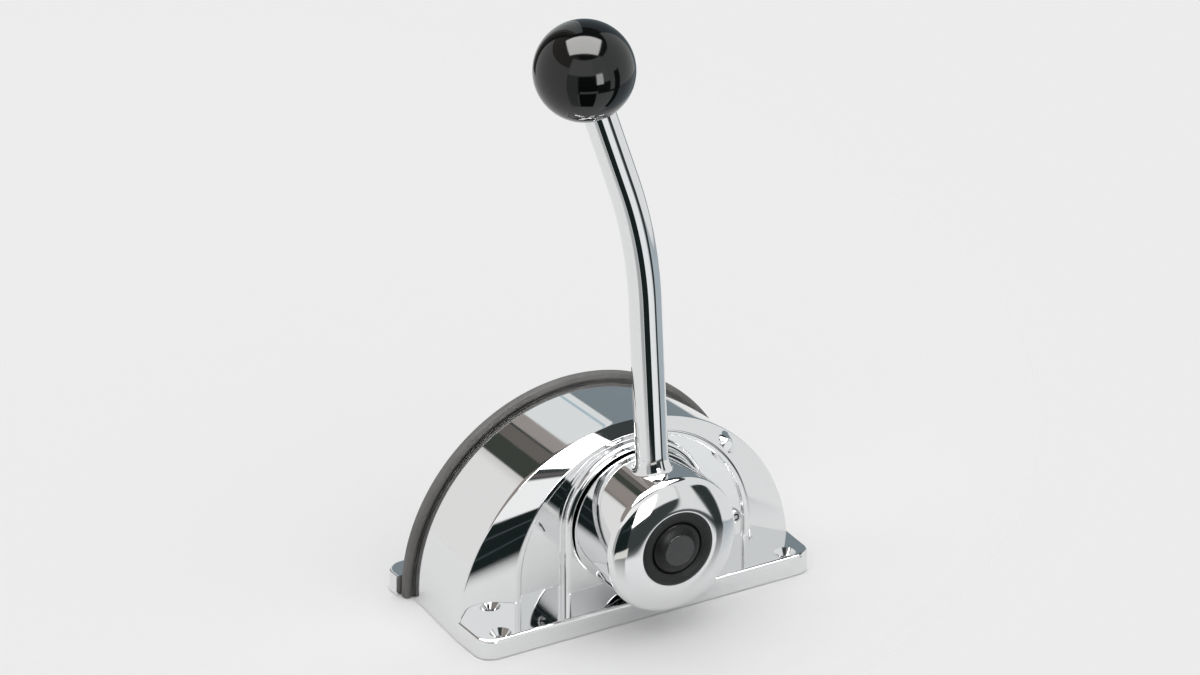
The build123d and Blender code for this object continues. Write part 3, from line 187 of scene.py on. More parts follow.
# The bezel, the push button and its disc. The button's dome leaves the disc's edge along (y, r)
BEZEL_RADIUS = 19.5
BEZEL_BORE = 14.6
BEZEL_SEAT_Y = -71.0
BEZEL_FRONT_Y = -74.4
SLEEVE_BACK_Y = -61.3
SLEEVE_BORE = 13.7
SLEEVE_DROP = 0.6
BUTTON_FRONT_Y = -75.4
BUTTON_BACK_Y = -66.5
BUTTON_RADIUS = 13.2
BUTTON_WALL = 2.0
BUTTON_WEB_ROUND = 0.6
BUTTON_SHOULDER = 3.2
BUTTON_PULL = 5.6
BUTTON_START = (0.24, 0.97)
DISC_RADIUS = 8.2
DISC_SEAT = 0.9
DISC_SEAT_ROUND = 0.15
DISC_THICKNESS = 1.2
DISC_BACK_EDGE = 0.05
DISC_FRONT_EDGE = 0.45
SLIP_FIT = 0.02
# The surfaces are worked out in millimetres, and Blender works in metres
MM_PER_METRE = 1000
# How finely the surfaces are drawn
GUARD = 0.03
OUTSIDE_STEP = 1.6
INSIDE_STEP = 3.0
STRIP_STEP = 0.8
BARREL_COLUMNS = 256
ROUND_COLUMNS = 192
SMALL_COLUMNS = 96
GRUB_COLUMNS = 64
POST_COLUMNS = 48
KNOB_RINGS = 121
LEVER_ARC_RINGS = 61
CURVE_POINTS = 33
RIM_POINTS = 25
CORNER_POINTS = 17
CORNER_STEPS = 12
SMALLEST_CORNER = 0.01
HALVINGS = 40
HARD_EDGE = math.radians(35)
BUTTON_HARD_EDGE = math.radians(50)
# Distances that the mesh clean-up works with, in metres
WELD_DISTANCE = 2e-6
SLIVER_LENGTH = 1e-7


def rounded(corners, reaches, steps=10):
    """A line through these points with rounded corners, as an array of points.

    Each corner P becomes the curve (1-t)^2 A + 2t(1-t) P + t^2 B, where A and B lie the corner's
    reach away from P on its two sides. A guard point next to A and B keeps the flats flat.
    """
    corners = [np.array(c, float) for c in corners]
    line = [corners[0]]
    for before, corner, after, reach in zip(corners, corners[1:-1], corners[2:], reaches):
        if reach <= 0:
            line.append(corner)
            continue
        back = (before - corner) / np.linalg.norm(before - corner)
        ahead = (after - corner) / np.linalg.norm(after - corner)
        start = corner + back * reach
        end = corner + ahead * reach
        line.append(start + back * GUARD)
        for t in np.linspace(0, 1, steps + 1):
            line.append((1 - t) ** 2 * start + 2 * t * (1 - t) * corner + t ** 2 * end)
        line.append(end + ahead * GUARD)
    line.append(corners[-1])
    return np.array(line)


def filled(line, longest):
    """The same line with extra points, so that no step is longer than this."""
    out = [line[0]]
    for a, b in zip(line, line[1:]):
        parts = max(1, int(math.ceil(np.linalg.norm(b - a) / longest)))
        for k in range(1, parts + 1):
            out.append(a + (b - a) * k / parts)
    return np.array(out)


class Skin:
    """Gathers smooth patches into one mesh. Each patch is a grid of points, in millimetres."""

    def __init__(self):
        self.points = []
        self.faces = []
        self.count = 0

    def patch(self, grid, wrap=False):
        """Adds a grid of rows and columns. wrap joins the last column to the first."""
        rows, columns = grid.shape[:2]
        base = self.count + np.arange(rows * columns).reshape(rows, columns)
        if wrap:
            base = np.concatenate([base, base[:, :1]], axis=1)
        a, b, c, d = base[:-1, :-1], base[:-1, 1:], base[1:, 1:], base[1:, :-1]
        quads = np.stack([a, b, c, d], axis=-1).reshape(-1, 4)
        self.points.append(grid.reshape(-1, 3))
        self.faces.append(quads)
        self.count += rows * columns

    def mesh(self, name):
        """Welds the patches into a mesh, closes its open rims and turns its normals outward."""
        mesh = bpy.data.meshes.new(name)
        points = np.concatenate(self.points) / MM_PER_METRE
        mesh.from_pydata(points.tolist(), [], np.concatenate(self.faces).tolist())
        work = bmesh.new()
        work.from_mesh(mesh)
        bmesh.ops.remove_doubles(work, verts=work.verts, dist=WELD_DISTANCE)
        bmesh.ops.dissolve_degenerate(work, dist=SLIVER_LENGTH, edges=work.edges)
        rims = [edge for edge in work.edges if edge.is_boundary]
        bmesh.ops.holes_fill(work, edges=rims, sides=0)
        bmesh.ops.recalc_face_normals(work, faces=work.faces)
        work.to_mesh(mesh)
        work.free()
        return mesh

    def build(self, name, body, slot, material, nodes=(), sharp=HARD_EDGE):
        """Makes the piece, marks its hard edges and puts it on its body."""
        mesh = self.mesh(name)
        mesh.shade_smooth()
        mesh.set_sharp_from_angle(angle=sharp)
        mesh.materials.append(material)
        piece = bpy.data.objects.new(name, mesh)
        bpy.context.scene.collection.objects.link(piece)
        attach(piece, body)
        if nodes:
            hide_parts(*nodes)
        return piece


def turned(profile, columns=ROUND_COLUMNS, x=0.0, z=AXIS_Z):
    """A surface turned about a line along Y through (x, z).

    Each profile point (y, r) gives the ring (x + r cos a, y, z + r sin a).
    """
    angle = np.linspace(0, 2 * np.pi, columns, endpoint=False)
    y = profile[:, 0][:, None]
    r = profile[:, 1][:, None]
    return np.stack([x + r * np.cos(angle), y + 0 * angle, z + r * np.sin(angle)], axis=-1)


def arch_row(y, half, spring, arc_steps=180, leg_steps=10):
    """Points of one arch: up the left leg from z = 0, over the half circle and down the right leg."""
    leg = np.linspace(0, 1, leg_steps, endpoint=False)
    angle = np.linspace(np.pi, 0, arc_steps + 1)
    x = np.concatenate([-half + 0 * leg, half * np.cos(angle), half + 0 * leg])
    up = spring * leg
    down = spring - spring * (leg + 1 / leg_steps)
    z = np.concatenate([up, spring + half * np.sin(angle), down])
    return np.stack([x, y + 0 * x, z], axis=-1)


def arch_sweep(profile):
    """Arches one behind the other. Each profile point is (y, half width, spring height)."""
    return np.stack([arch_row(y, half, spring) for y, half, spring in profile])


def turned_about(profile, origin, axis, columns=ROUND_COLUMNS):
    """A surface turned about a line that doesn't run along Y.

    Each profile point (h, r) gives the ring origin + h axis + r (cos a side + sin a up).
    """
    axis = np.array(axis, float) / np.linalg.norm(axis)
    side = np.array([0.0, 1.0, 0.0])
    side = side - axis * side.dot(axis)
    side /= np.linalg.norm(side)
    up = np.cross(axis, side)
    angle = np.linspace(0, 2 * np.pi, columns, endpoint=False)
    ring = np.cos(angle)[:, None] * side + np.sin(angle)[:, None] * up
    h = profile[:, 0][:, None, None]
    r = profile[:, 1][:, None, None]
    return np.array(origin) + h * axis + r * ring


def slab_row(half, free_y, joined_y, inset, height):
    """One outline of a flange, inset on its free sides. Its two corners at free_y are round."""
    turn = np.linspace(0, np.pi / 2, CORNER_POINTS)
    way = 1.0 if free_y < joined_y else -1.0
    radius = max(FLANGE_CORNER - inset, SMALLEST_CORNER)
    x = half - FLANGE_CORNER + radius * np.cos(turn)
    y = free_y + way * FLANGE_CORNER - way * radius * np.sin(turn)
    x = np.concatenate([[half - inset], x, -x[::-1], [-half + inset]])
    y = np.concatenate([[joined_y], y, y[::-1], [joined_y]])
    return np.stack([x, y, np.full_like(x, height)], axis=-1)


def cut(piece, tools):
    """Cuts these closed meshes out of a piece and marks its hard edges again."""
    for number, tool in enumerate(tools):
        change = piece.modifiers.new(f"cut_{number}", "BOOLEAN")
        change.operation = "DIFFERENCE"
        change.solver = "EXACT"
        change.object = tool
    bpy.context.view_layer.update()
    graph = bpy.context.evaluated_depsgraph_get()
    mesh = bpy.data.meshes.new_from_object(piece.evaluated_get(graph))
    piece.modifiers.clear()
    old = piece.data
    piece.data = mesh
    mesh.name = piece.name
    bpy.data.meshes.remove(old)
    mesh.shade_smooth()
    mesh.set_sharp_from_angle(angle=HARD_EDGE)
    for tool in tools:
        bpy.data.objects.remove(tool, do_unlink=True)


def cutter(profile, origin, axis, columns=SMALL_COLUMNS):
    """A closed turned solid for cutting, with its two ends on the axis."""
    skin = Skin()
    skin.patch(turned_about(np.array(profile, float), origin, axis, columns), wrap=True)
    solid = bpy.data.objects.new("cutter", skin.mesh("cutter"))
    bpy.context.scene.collection.objects.link(solid)
    return solid


def sink_cutters(mounts):
    """Countersunk screw holes through a flange at these (x, y)."""
    sink_z = FLANGE_TOP - (SINK_RADIUS - HOLE_RADIUS) / math.tan(SINK_ANGLE)
    mouth = SINK_RADIUS + SINK_CLEAR * math.tan(SINK_ANGLE)
    top = FLANGE_TOP + SINK_CLEAR
    profile = [(top, 0), (top, mouth), (sink_z, HOLE_RADIUS), (-SINK_CLEAR, HOLE_RADIUS), (-SINK_CLEAR, 0)]
    return [cutter(profile, (x, y, 0), (0, 0, 1)) for x, y in mounts]


def slab(half, free_y, joined_y, top_round):
    """A flange's surface: a flat bar with two round corners and a rounded top edge.

    Outlines that are inset along a rounded profile are stacked up and joined. The bottom and the top
    run from the first and the last outline straight to the joined side, which is then closed.
    """
    run = FLANGE_EDGE_RUN
    edge = [(run, 0), (0, 0), (0, FLANGE_TOP), (run, FLANGE_TOP)]
    profile = rounded(edge, [SOFT_EDGE, top_round], steps=CORNER_STEPS)
    rows = [slab_row(half, free_y, joined_y, inset, height) for inset, height in profile]
    skin = Skin()
    skin.patch(np.stack(rows))
    for row in (rows[0], rows[-1]):
        joined = row.copy()
        joined[:, 1] = joined_y
        skin.patch(np.stack([row, joined]))
    back = []
    for row in rows:
        across = rows[0].copy()
        across[:, 1] = joined_y
        across[:, 2] = row[0, 2]
        back.append(np.concatenate([row[:1], across, row[-1:]]))
    skin.patch(np.stack(back))
    return skin


def build_flange(name, node, chrome, skin, mount_y):
    """One flange of the base, with its two countersunk mounting holes."""
    flange = skin.build(name, "casing", "chrome", chrome, (node,))
    cut(flange, sink_cutters([(-MOUNT_X, mount_y), (MOUNT_X, mount_y)]))


def shoulder_y(x, z):
    """The shoulder's y at x, z.

    The shoulder is ruled between two arches. Halving finds the t whose arch, with its half width and
    spring height mixed by t, passes through the point. Then y is mixed by the same t.
    """
    low = np.zeros_like(x)
    high = np.ones_like(x)
    for _ in range(HALVINGS):
        t = (low + high) / 2
        half = DOME_RADIUS + (FACE_HALF - DOME_RADIUS) * t
        spring = DOME_SPRING + (FACE_SPRING - DOME_SPRING) * t
        outside = x ** 2 + (z - spring) ** 2 > half ** 2
        low = np.where(outside, low, t)
        high = np.where(outside, t, high)
    return RIM_Y + (FACE_Y - RIM_Y) * t


def lug_skin():
    """The screw lug: a round face whose side sinks into the shoulder along an S curve.

    The foot lies close to the face towards the dome's edge and far from it on the opposite side.
    """
    turn = np.linspace(0, 2 * np.pi, SMALL_COLUMNS, endpoint=False)
    outward = math.atan2(LUG_Z - DOME_SPRING, LUG_X)
    foot = LUG_FOOT_OUTER + (LUG_FOOT_INNER - LUG_FOOT_OUTER) * (1 - np.cos(turn - outward)) / 2
    t = np.linspace(0, 1, CURVE_POINTS)[:, None]
    side = LUG_FACE + (foot - LUG_FACE) * t
    face = np.linspace(0, LUG_FACE_SHARE, LUG_FACE_RINGS)[:, None] * side[:1]
    ring = np.concatenate([face, side])
    sunk = np.concatenate([np.zeros((LUG_FACE_RINGS, 1)), t])
    x = LUG_X + ring * np.cos(turn)
    z = LUG_Z + ring * np.sin(turn)
    fall = sunk * sunk * (3 - 2 * sunk)
    ground = shoulder_y(x, z)
    return np.stack([x, LUG_TOP_Y + (ground + LUG_SINK - LUG_TOP_Y) * fall, z], axis=-1)


def post(skin, place, radius, root_y, face_y, bore=0.0):
    """A round post inside the casting, from its root in the wall to its face with the mouth of its bore."""
    profile = np.array([(root_y, radius), (face_y, radius), (face_y, bore)])
    skin.patch(turned(profile, POST_COLUMNS, *place), wrap=True)


def build_housing(chrome):
    """The front casting: dome, shoulder, lip, panel and collar as arches, and the front flange."""
    skin = Skin()
    outside = rounded(
        [
            (DOME_BACK_Y, DOME_BACK_RADIUS - WALL, DOME_SPRING),
            (DOME_BACK_Y, DOME_BACK_RADIUS, DOME_SPRING),
            (RIM_Y, DOME_RADIUS, DOME_SPRING),
            (FACE_Y, FACE_HALF, FACE_SPRING),
            (FACE_Y, FACE_HALF - LIP_WIDTH, FACE_SPRING),
            (PANEL_Y, FACE_HALF - LIP_WIDTH, FACE_SPRING),
            (PANEL_Y, COLLAR_RADIUS, AXIS_Z),
            (COLLAR_Y, COLLAR_RADIUS, AXIS_Z),
            (COLLAR_Y, 0, AXIS_Z),
        ],
        [FINE_EDGE, RIM_ROUND, LIP_ROUND, LIP_INNER_ROUND, PANEL_ROUND, COLLAR_FOOT_ROUND, COLLAR_ROUND],
    )
    skin.patch(arch_sweep(filled(outside, OUTSIDE_STEP)))
    inside = rounded(
        [
            (DOME_BACK_Y, DOME_BACK_RADIUS - WALL, DOME_SPRING),
            (RIM_Y + SHOULDER_WALL, DOME_RADIUS - WALL, DOME_SPRING),
            (PANEL_Y + WALL, FACE_HALF - WALL, FACE_SPRING),
            (PANEL_Y + WALL, 0, FACE_SPRING),
        ],
        [INNER_RIM_ROUND, INNER_FACE_ROUND],
    )
    skin.patch(arch_sweep(filled(inside, INSIDE_STEP)))
    for side in (-1, 1):
        place = (side * SIDE_POST[0], SIDE_POST[1])
        post(skin, place, COVER_POST_RADIUS, SIDE_POST_ROOT_Y, COVER_FRONT_Y)
    for side in (-1, 1):
        place = (side * TOP_POST[0], TOP_POST[1])
        post(skin, place, COVER_POST_RADIUS, BOSS_ROOT_Y, COVER_FRONT_Y)
    shaft_boss = rounded(
        [
            (BOSS_ROOT_Y, SHAFT_BOSS_RADIUS),
            (BOSS_BACK_Y, SHAFT_BOSS_RADIUS),
            (BOSS_BACK_Y, SHAFT_BOSS_BORE),
            (SHAFT_BORE_FRONT_Y, SHAFT_BOSS_BORE),
        ],
        [SHAFT_BOSS_ROUND, SOFT_EDGE],
    )
    skin.patch(turned(shaft_boss, SMALL_COLUMNS), wrap=True)
    post(skin, STUD_BOSS, STUD_BOSS_RADIUS, BOSS_ROOT_Y, BOSS_BACK_Y, STUD_BORE)
    post(skin, FRICTION_SCREW, FRICTION_BOSS_RADIUS, BOSS_ROOT_Y, FRICTION_BOSS_BACK_Y, FRICTION_BORE)
    skin.patch(lug_skin(), wrap=True)
    skin.build("housing", "casing", "chrome", chrome, ("front_housing",))
    bar = slab(FLANGE_HALF, FLANGE_FRONT_Y, RIM_Y, FLANGE_ROUND)
    build_flange("front_flange", "front_housing", chrome, bar, -MOUNT_Y)


def build_cover(chrome):
    """The rear cover's plate with its bevelled rim and inner boss, and the rear flange."""
    skin = Skin()
    plate = rounded(
        [
            (COVER_FRONT_Y, 0, DOME_SPRING),
            (COVER_FRONT_Y, STRIP_INNER, DOME_SPRING),
            (COVER_BACK_Y - COVER_BEVEL, STRIP_INNER, DOME_SPRING),
            (COVER_BACK_Y, STRIP_INNER - COVER_BEVEL, DOME_SPRING),
            (COVER_BACK_Y, 0, DOME_SPRING),
        ],
        [FINE_EDGE, FULL_EDGE, FULL_EDGE],
    )
    skin.patch(arch_sweep(plate))
    boss = rounded(
        [
            (COVER_FRONT_Y, COVER_BOSS_RADIUS),
            (COVER_BOSS_FRONT_Y, COVER_BOSS_RADIUS),
            (COVER_BOSS_FRONT_Y, COVER_BOSS_BORE),
            (COVER_FRONT_Y, COVER_BOSS_BORE),
        ],
        [COVER_BOSS_ROUND, FINE_EDGE],
    )
    skin.patch(turned(boss, SMALL_COLUMNS), wrap=True)
    skin.build("cover_plate", "casing", "chrome", chrome, ("rear_cover",))
    bar = slab(REAR_FLANGE_HALF, REAR_FLANGE_BACK_Y, REAR_FLANGE_FRONT_Y, REAR_FLANGE_ROUND)
    build_flange("rear_flange", "rear_cover", chrome, bar, MOUNT_Y)


def build_strip(rubber):
    """The rubber bead over the joint of the two shells, a little undercut beside the dome."""
    skin = Skin()
    groove = STRIP_OUTER - STRIP_GROOVE
    groove_y = STRIP_FRONT_Y + STRIP_GROOVE_WIDTH
    seam = (STRIP_FRONT_Y + STRIP_SEAM, STRIP_INNER, DOME_SPRING)
    loop = rounded(
        [
            seam,
            (groove_y, STRIP_INNER, DOME_SPRING),
            (groove_y, groove, DOME_SPRING),
            (STRIP_FRONT_Y, groove, DOME_SPRING),
            (STRIP_FRONT_Y, STRIP_OUTER, DOME_SPRING),
            (STRIP_BACK_Y, STRIP_OUTER, DOME_SPRING),
            (STRIP_BACK_Y, STRIP_INNER, DOME_SPRING),
            seam,
        ],
        [FINE_EDGE, FINE_EDGE, SOFT_EDGE, STRIP_FRONT_ROUND, STRIP_BACK_ROUND, SOFT_EDGE],
    )
    skin.patch(arch_sweep(filled(loop, STRIP_STEP)))
    skin.build("strip", "casing", "strip_rubber", rubber, ("rubber_strip",))


def build_barrel(chrome):
    """The hub: a thick cap with a rounded rim, a shallow crown and a recess for the button.

    The rim is an arc that turns by the rim's angle. The crown is one more arc, which leaves the rim
    along its tangent and ends at the bezel.
    """
    start_y = BARREL_FRONT_Y + BARREL_RIM_START
    turn = np.linspace(0, BARREL_RIM_TURN, RIM_POINTS)
    rim_y = start_y - BARREL_RIM_ROUND * np.sin(turn)
    rim_r = BARREL_RADIUS - BARREL_RIM_ROUND * (1 - np.cos(turn))
    slope = math.pi / 2 - BARREL_RIM_TURN
    run = np.array([CAP_FRONT_Y - rim_y[-1], BEZEL_RADIUS - rim_r[-1]])
    chord_slope = math.atan2(-run[0], -run[1])
    crown_radius = np.linalg.norm(run) / (2 * math.sin(slope - chord_slope))
    lean = np.linspace(slope, 2 * chord_slope - slope, CURVE_POINTS)[1:]
    crown_y = rim_y[-1] - crown_radius * (np.cos(lean) - math.cos(slope))
    crown_r = rim_r[-1] - crown_radius * (math.sin(slope) - np.sin(lean))
    rim = np.stack([rim_y, rim_r], axis=1)
    crown = np.stack([crown_y, crown_r], axis=1)
    hollow_y = BARREL_FRONT_Y + BARREL_WEB
    back = rounded(
        [
            (BARREL_BACK_Y, SHAFT_RADIUS),
            (BARREL_BACK_Y, BARREL_BOSS_RADIUS),
            (hollow_y, BARREL_BOSS_RADIUS),
            (hollow_y, BARREL_RADIUS - BARREL_WALL),
            (BARREL_BACK_Y, BARREL_RADIUS - BARREL_WALL),
            (BARREL_BACK_Y, BARREL_RADIUS),
            (start_y, BARREL_RADIUS),
        ],
        [SOFT_EDGE, BARREL_INNER_ROUND, BARREL_INNER_ROUND, SOFT_EDGE, BARREL_BACK_ROUND],
    )
    recess = rounded(
        [
            crown[-1],
            (CAP_FRONT_Y + RECESS_LEAD, BEZEL_RADIUS - RECESS_CLEAR),
            (BEZEL_SEAT_Y, BEZEL_RADIUS - RECESS_CLEAR),
            (BEZEL_SEAT_Y, BEZEL_BORE),
            (RECESS_Y, BEZEL_BORE),
            (RECESS_Y, 0),
        ],
        [0, FINE_EDGE, FINE_EDGE, RECESS_ROUND],
    )
    flat_end = [(start_y + GUARD, BARREL_RADIUS)]
    profile = np.concatenate([back[:-1], flat_end, rim, crown[:-1], recess])
    skin = Skin()
    skin.patch(turned(profile, BARREL_COLUMNS), wrap=True)
    barrel = skin.build("barrel", "lever", "chrome", chrome, ("hub_barrel",))
    grub_hole = [
        (BARREL_RADIUS - GRUB_DEPTH, 0),
        (BARREL_RADIUS - GRUB_DEPTH, GRUB_RADIUS),
        (BARREL_RADIUS - GRUB_CHAMFER, GRUB_RADIUS),
        (BARREL_RADIUS + GRUB_CLEAR, GRUB_MOUTH),
        (BARREL_RADIUS + GRUB_CLEAR, 0),
    ]
    way = (math.cos(GRUB_ANGLE), 0, math.sin(GRUB_ANGLE))
    cut(barrel, [cutter(grub_hole, (0, GRUB_Y, AXIS_Z), way, GRUB_COLUMNS)])


def foot_skin(low):
    """The weld fillet at the bar's foot: rings that widen from the bar and sink onto the round hub.

    At angle a and widening w, from 0 to 1, the ring is the bar's radius plus w flares along (sin a, cos a)
    across the bar. Its height above the hub is the fillet's height times 1 - sqrt(1 - (1 - w)^2).
    """
    angle = np.linspace(0, 2 * np.pi, SMALL_COLUMNS, endpoint=False)
    widen = 1 - np.cos(np.linspace(0, np.pi / 2, CORNER_POINTS))[:, None]
    reach = LEVER_RADIUS + FOOT_FLARE * widen
    across = reach * np.sin(angle)
    y = LEVER_Y + reach * np.cos(angle)
    drop = 1 - np.sqrt(np.clip(1 - (1 - widen) ** 2, 0, 1))
    ground = np.sqrt(BARREL_RADIUS ** 2 - across ** 2) - FOOT_SINK
    rise = ground + FOOT_HEIGHT * drop
    x = low[0] * rise + low[1] * across
    z = AXIS_Z + low[1] * rise - low[0] * across
    return np.stack([x, y, z], axis=-1)


def build_lever(chrome):
    """The bent bar: rings across a path of two straight runs joined by an arc.

    At path point (px, pz) with lean b, angle a gives (px + r sin a cos b, y + r cos a, pz + r sin a sin b).
    Returns the knob's centre and the direction of the upper run.
    """
    top_lean = LEVER_LEAN + LEVER_BEND
    corner = np.array([-LEVER_BEND_HEIGHT * math.tan(LEVER_LEAN), AXIS_Z + LEVER_BEND_HEIGHT])
    low = np.array([-math.sin(LEVER_LEAN), math.cos(LEVER_LEAN)])
    high = np.array([-math.sin(top_lean), math.cos(top_lean)])
    tangent = LEVER_BEND_RADIUS * math.tan(LEVER_BEND / 2)
    inward = np.array([-math.cos(LEVER_LEAN), -math.sin(LEVER_LEAN)])
    centre = corner - low * tangent + LEVER_BEND_RADIUS * inward
    knob = corner + high * LEVER_UPPER_RUN
    seat = math.sqrt(KNOB_RADIUS ** 2 - KNOB_FLAT_RADIUS ** 2)
    arc_lean = np.linspace(LEVER_LEAN, top_lean, LEVER_ARC_RINGS)
    outward = np.stack([np.cos(arc_lean), np.sin(arc_lean)], axis=-1)
    foot_path = np.array([0.0, AXIS_Z]) + low * np.array(LEVER_STATIONS)[:, None]
    top_path = knob - high * np.array([[seat + LEVER_LAST_STATION], [seat - LEVER_IN_KNOB]])
    path = np.concatenate([foot_path, centre + LEVER_BEND_RADIUS * outward, top_path])
    lean = np.concatenate([np.full(len(foot_path), LEVER_LEAN), arc_lean, np.full(len(top_path), top_lean)])
    angle = np.linspace(0, 2 * np.pi, SMALL_COLUMNS, endpoint=False)
    across = LEVER_RADIUS * np.sin(angle)
    x = path[:, :1] + across * np.cos(lean)[:, None]
    z = path[:, 1:] + across * np.sin(lean)[:, None]
    y = np.broadcast_to(LEVER_Y + LEVER_RADIUS * np.cos(angle), x.shape)
    skin = Skin()
    skin.patch(np.stack([x, y, z], axis=-1), wrap=True)
    skin.patch(foot_skin(low), wrap=True)
    skin.build("lever_bar", "lever", "chrome", chrome, ("lever_arm",))
    return (knob[0], LEVER_Y, knob[1]), (high[0], 0, high[1])


def build_knob(black, centre, axis):
    """The ball, turned about the bar's upper run, with a flat seat and a socket for the bar.

    The profile is (R cos a, R sin a) from the top to where its radius falls to the flat's.
    """
    flat = math.asin(KNOB_FLAT_RADIUS / KNOB_RADIUS)
    angle = np.linspace(0, math.pi - flat, KNOB_RINGS)
    ball = np.stack([KNOB_RADIUS * np.cos(angle), KNOB_RADIUS * np.sin(angle)], axis=1)
    seat = -KNOB_RADIUS * math.cos(flat)
    socket_line = rounded(
        [
            ball[-2],
            ball[-1],
            (seat, KNOB_SOCKET_RADIUS),
            (seat + KNOB_SOCKET_DEPTH, KNOB_SOCKET_RADIUS),
            (seat + KNOB_SOCKET_DEPTH, 0),
        ],
        [KNOB_FLAT_ROUND, SOFT_EDGE, SOFT_EDGE],
    )
    skin = Skin()
    profile = np.concatenate([ball[:-1], socket_line[1:]])
    skin.patch(turned_about(profile, centre, axis), wrap=True)
    skin.build("ball_knob", "lever", "knob_black", black, ("knob",))


def build_bezel(black):
    """The bezel ring with its sleeve. Its front is the parabola y = edge - rise (1 - t^2)."""
    half = (BEZEL_RADIUS - BEZEL_BORE) / 2
    middle = (BEZEL_RADIUS + BEZEL_BORE) / 2
    rise = CAP_FRONT_Y - BEZEL_FRONT_Y
    t = np.linspace(1, -1, CURVE_POINTS)
    crown = np.stack([CAP_FRONT_Y - rise * (1 - t * t), middle + half * t], axis=1)
    seat = [
        (SLEEVE_BACK_Y, BEZEL_BORE - SLIP_FIT),
        (BEZEL_SEAT_Y, BEZEL_BORE - SLIP_FIT),
        (BEZEL_SEAT_Y, BEZEL_RADIUS),
    ]
    sleeve = [
        (CAP_FRONT_Y + SLEEVE_DROP, SLEEVE_BORE),
        (SLEEVE_BACK_Y, SLEEVE_BORE),
        (SLEEVE_BACK_Y, BEZEL_BORE),
        (SLEEVE_BACK_Y, BEZEL_BORE - SLIP_FIT),
    ]
    skin = Skin()
    skin.patch(turned(np.concatenate([seat, crown, sleeve])), wrap=True)
    skin.build("bezel_ring", "lever", "bezel_black", black, ("button_bezel",), sharp=BUTTON_HARD_EDGE)


def build_button(black, gloss):
    """The domed button with its skirt, and the plain disc let into it.

    The dome is the cubic Bezier curve from the disc's edge to the shoulder.
    """
    edge_y = BUTTON_FRONT_Y + BUTTON_SHOULDER
    seat_y = BUTTON_FRONT_Y + DISC_SEAT
    web_y = seat_y + BUTTON_WALL
    inner = BUTTON_RADIUS - BUTTON_WALL
    start = np.array([BUTTON_FRONT_Y, DISC_RADIUS])
    end = np.array([edge_y, BUTTON_RADIUS])
    handle = BUTTON_PULL / 3
    ahead = start + handle * np.array(BUTTON_START)
    behind = end - handle * np.array([1, 0])
    t = np.linspace(0, 1, CURVE_POINTS)[:, None]
    u = 1 - t
    dome = u ** 3 * start + 3 * u ** 2 * t * ahead + 3 * u * t ** 2 * behind + t ** 3 * end
    seat = rounded([(seat_y, 0), (seat_y, DISC_RADIUS), (BUTTON_FRONT_Y, DISC_RADIUS)], [DISC_SEAT_ROUND])
    skirt = rounded(
        [
            (edge_y + GUARD, BUTTON_RADIUS),
            (BUTTON_BACK_Y, BUTTON_RADIUS),
            (BUTTON_BACK_Y, inner),
            (web_y, inner),
            (web_y, 0),
        ],
        [FULL_EDGE, FULL_EDGE, BUTTON_WEB_ROUND],
    )
    skin = Skin()
    skin.patch(turned(np.concatenate([seat[:-1], dome, skirt])), wrap=True)
    skin.build("button_cap", "button", "button_black", black, ("push_button",), sharp=BUTTON_HARD_EDGE)
    radius = DISC_RADIUS - SLIP_FIT
    front_y = seat_y - DISC_THICKNESS
    line = [(seat_y, 0), (seat_y, radius), (front_y, radius), (front_y, 0)]
    skin = Skin()
    skin.patch(turned(rounded(line, [DISC_BACK_EDGE, DISC_FRONT_EDGE])), wrap=True)
    skin.build("button_face", "button", "disc_gloss", gloss, ("button_disc",))


def build_friction_head(steel):
    """The round head of the friction screw beside the hub."""
    back = PANEL_Y + FRICTION_HEAD_SINK
    radius = FRICTION_HEAD_RADIUS
    line = [(back, 0), (back, radius), (FRICTION_HEAD_Y, radius), (FRICTION_HEAD_Y, 0)]
    profile = rounded(line, [FRICTION_HEAD_EDGE, FRICTION_HEAD_DOME])
    skin = Skin()
    skin.patch(turned(profile, SMALL_COLUMNS, *FRICTION_SCREW), wrap=True)
    skin.build("friction_head", "casing", "screw_steel", steel)


def add(tree, kind, **settings):
    """Adds a node and sets its own settings."""
    node = tree.nodes.new(kind)
    for key, value in settings.items():
        setattr(node, key, value)
    return node


def join(tree, source, target):
    """Links an output to an input."""
    tree.links.new(source, target)


def math_node(tree, operation, a, b=None, clamp=False):
    """A Math node whose inputs are numbers or sockets. Returns its output."""
    node = add(tree, "ShaderNodeMath", operation=operation, use_clamp=clamp)
    for place, value in enumerate((a, b)):
        if value is None:
            continue
        if isinstance(value, (int, float)):
            node.inputs[place].default_value = value
        else:
            join(tree, value, node.inputs[place])
    return node.outputs[0]


def noise(tree, vector, scale, detail, roughness):
    """A noise pattern on these coordinates. Returns its value."""
    node = add(tree, "ShaderNodeTexNoise")
    node.inputs["Scale"].default_value = scale
    node.inputs["Detail"].default_value = detail
    node.inputs["Roughness"].default_value = roughness
    join(tree, vector, node.inputs["Vector"])
    return node.outputs["Fac"]


def remap(tree, value, low, high, new_low=0.0, new_high=1.0):
    """Maps low..high smoothly onto a new range. Each limit is a number or a socket."""
    node = add(tree, "ShaderNodeMapRange", interpolation_type="SMOOTHSTEP")
    join(tree, value, node.inputs["Value"])
    for label, limit in (("From Min", low), ("From Max", high), ("To Min", new_low), ("To Max", new_high)):
        if isinstance(limit, (int, float)):
            node.inputs[label].default_value = limit
        else:
            join(tree, limit, node.inputs[label])
    return node.outputs["Result"]


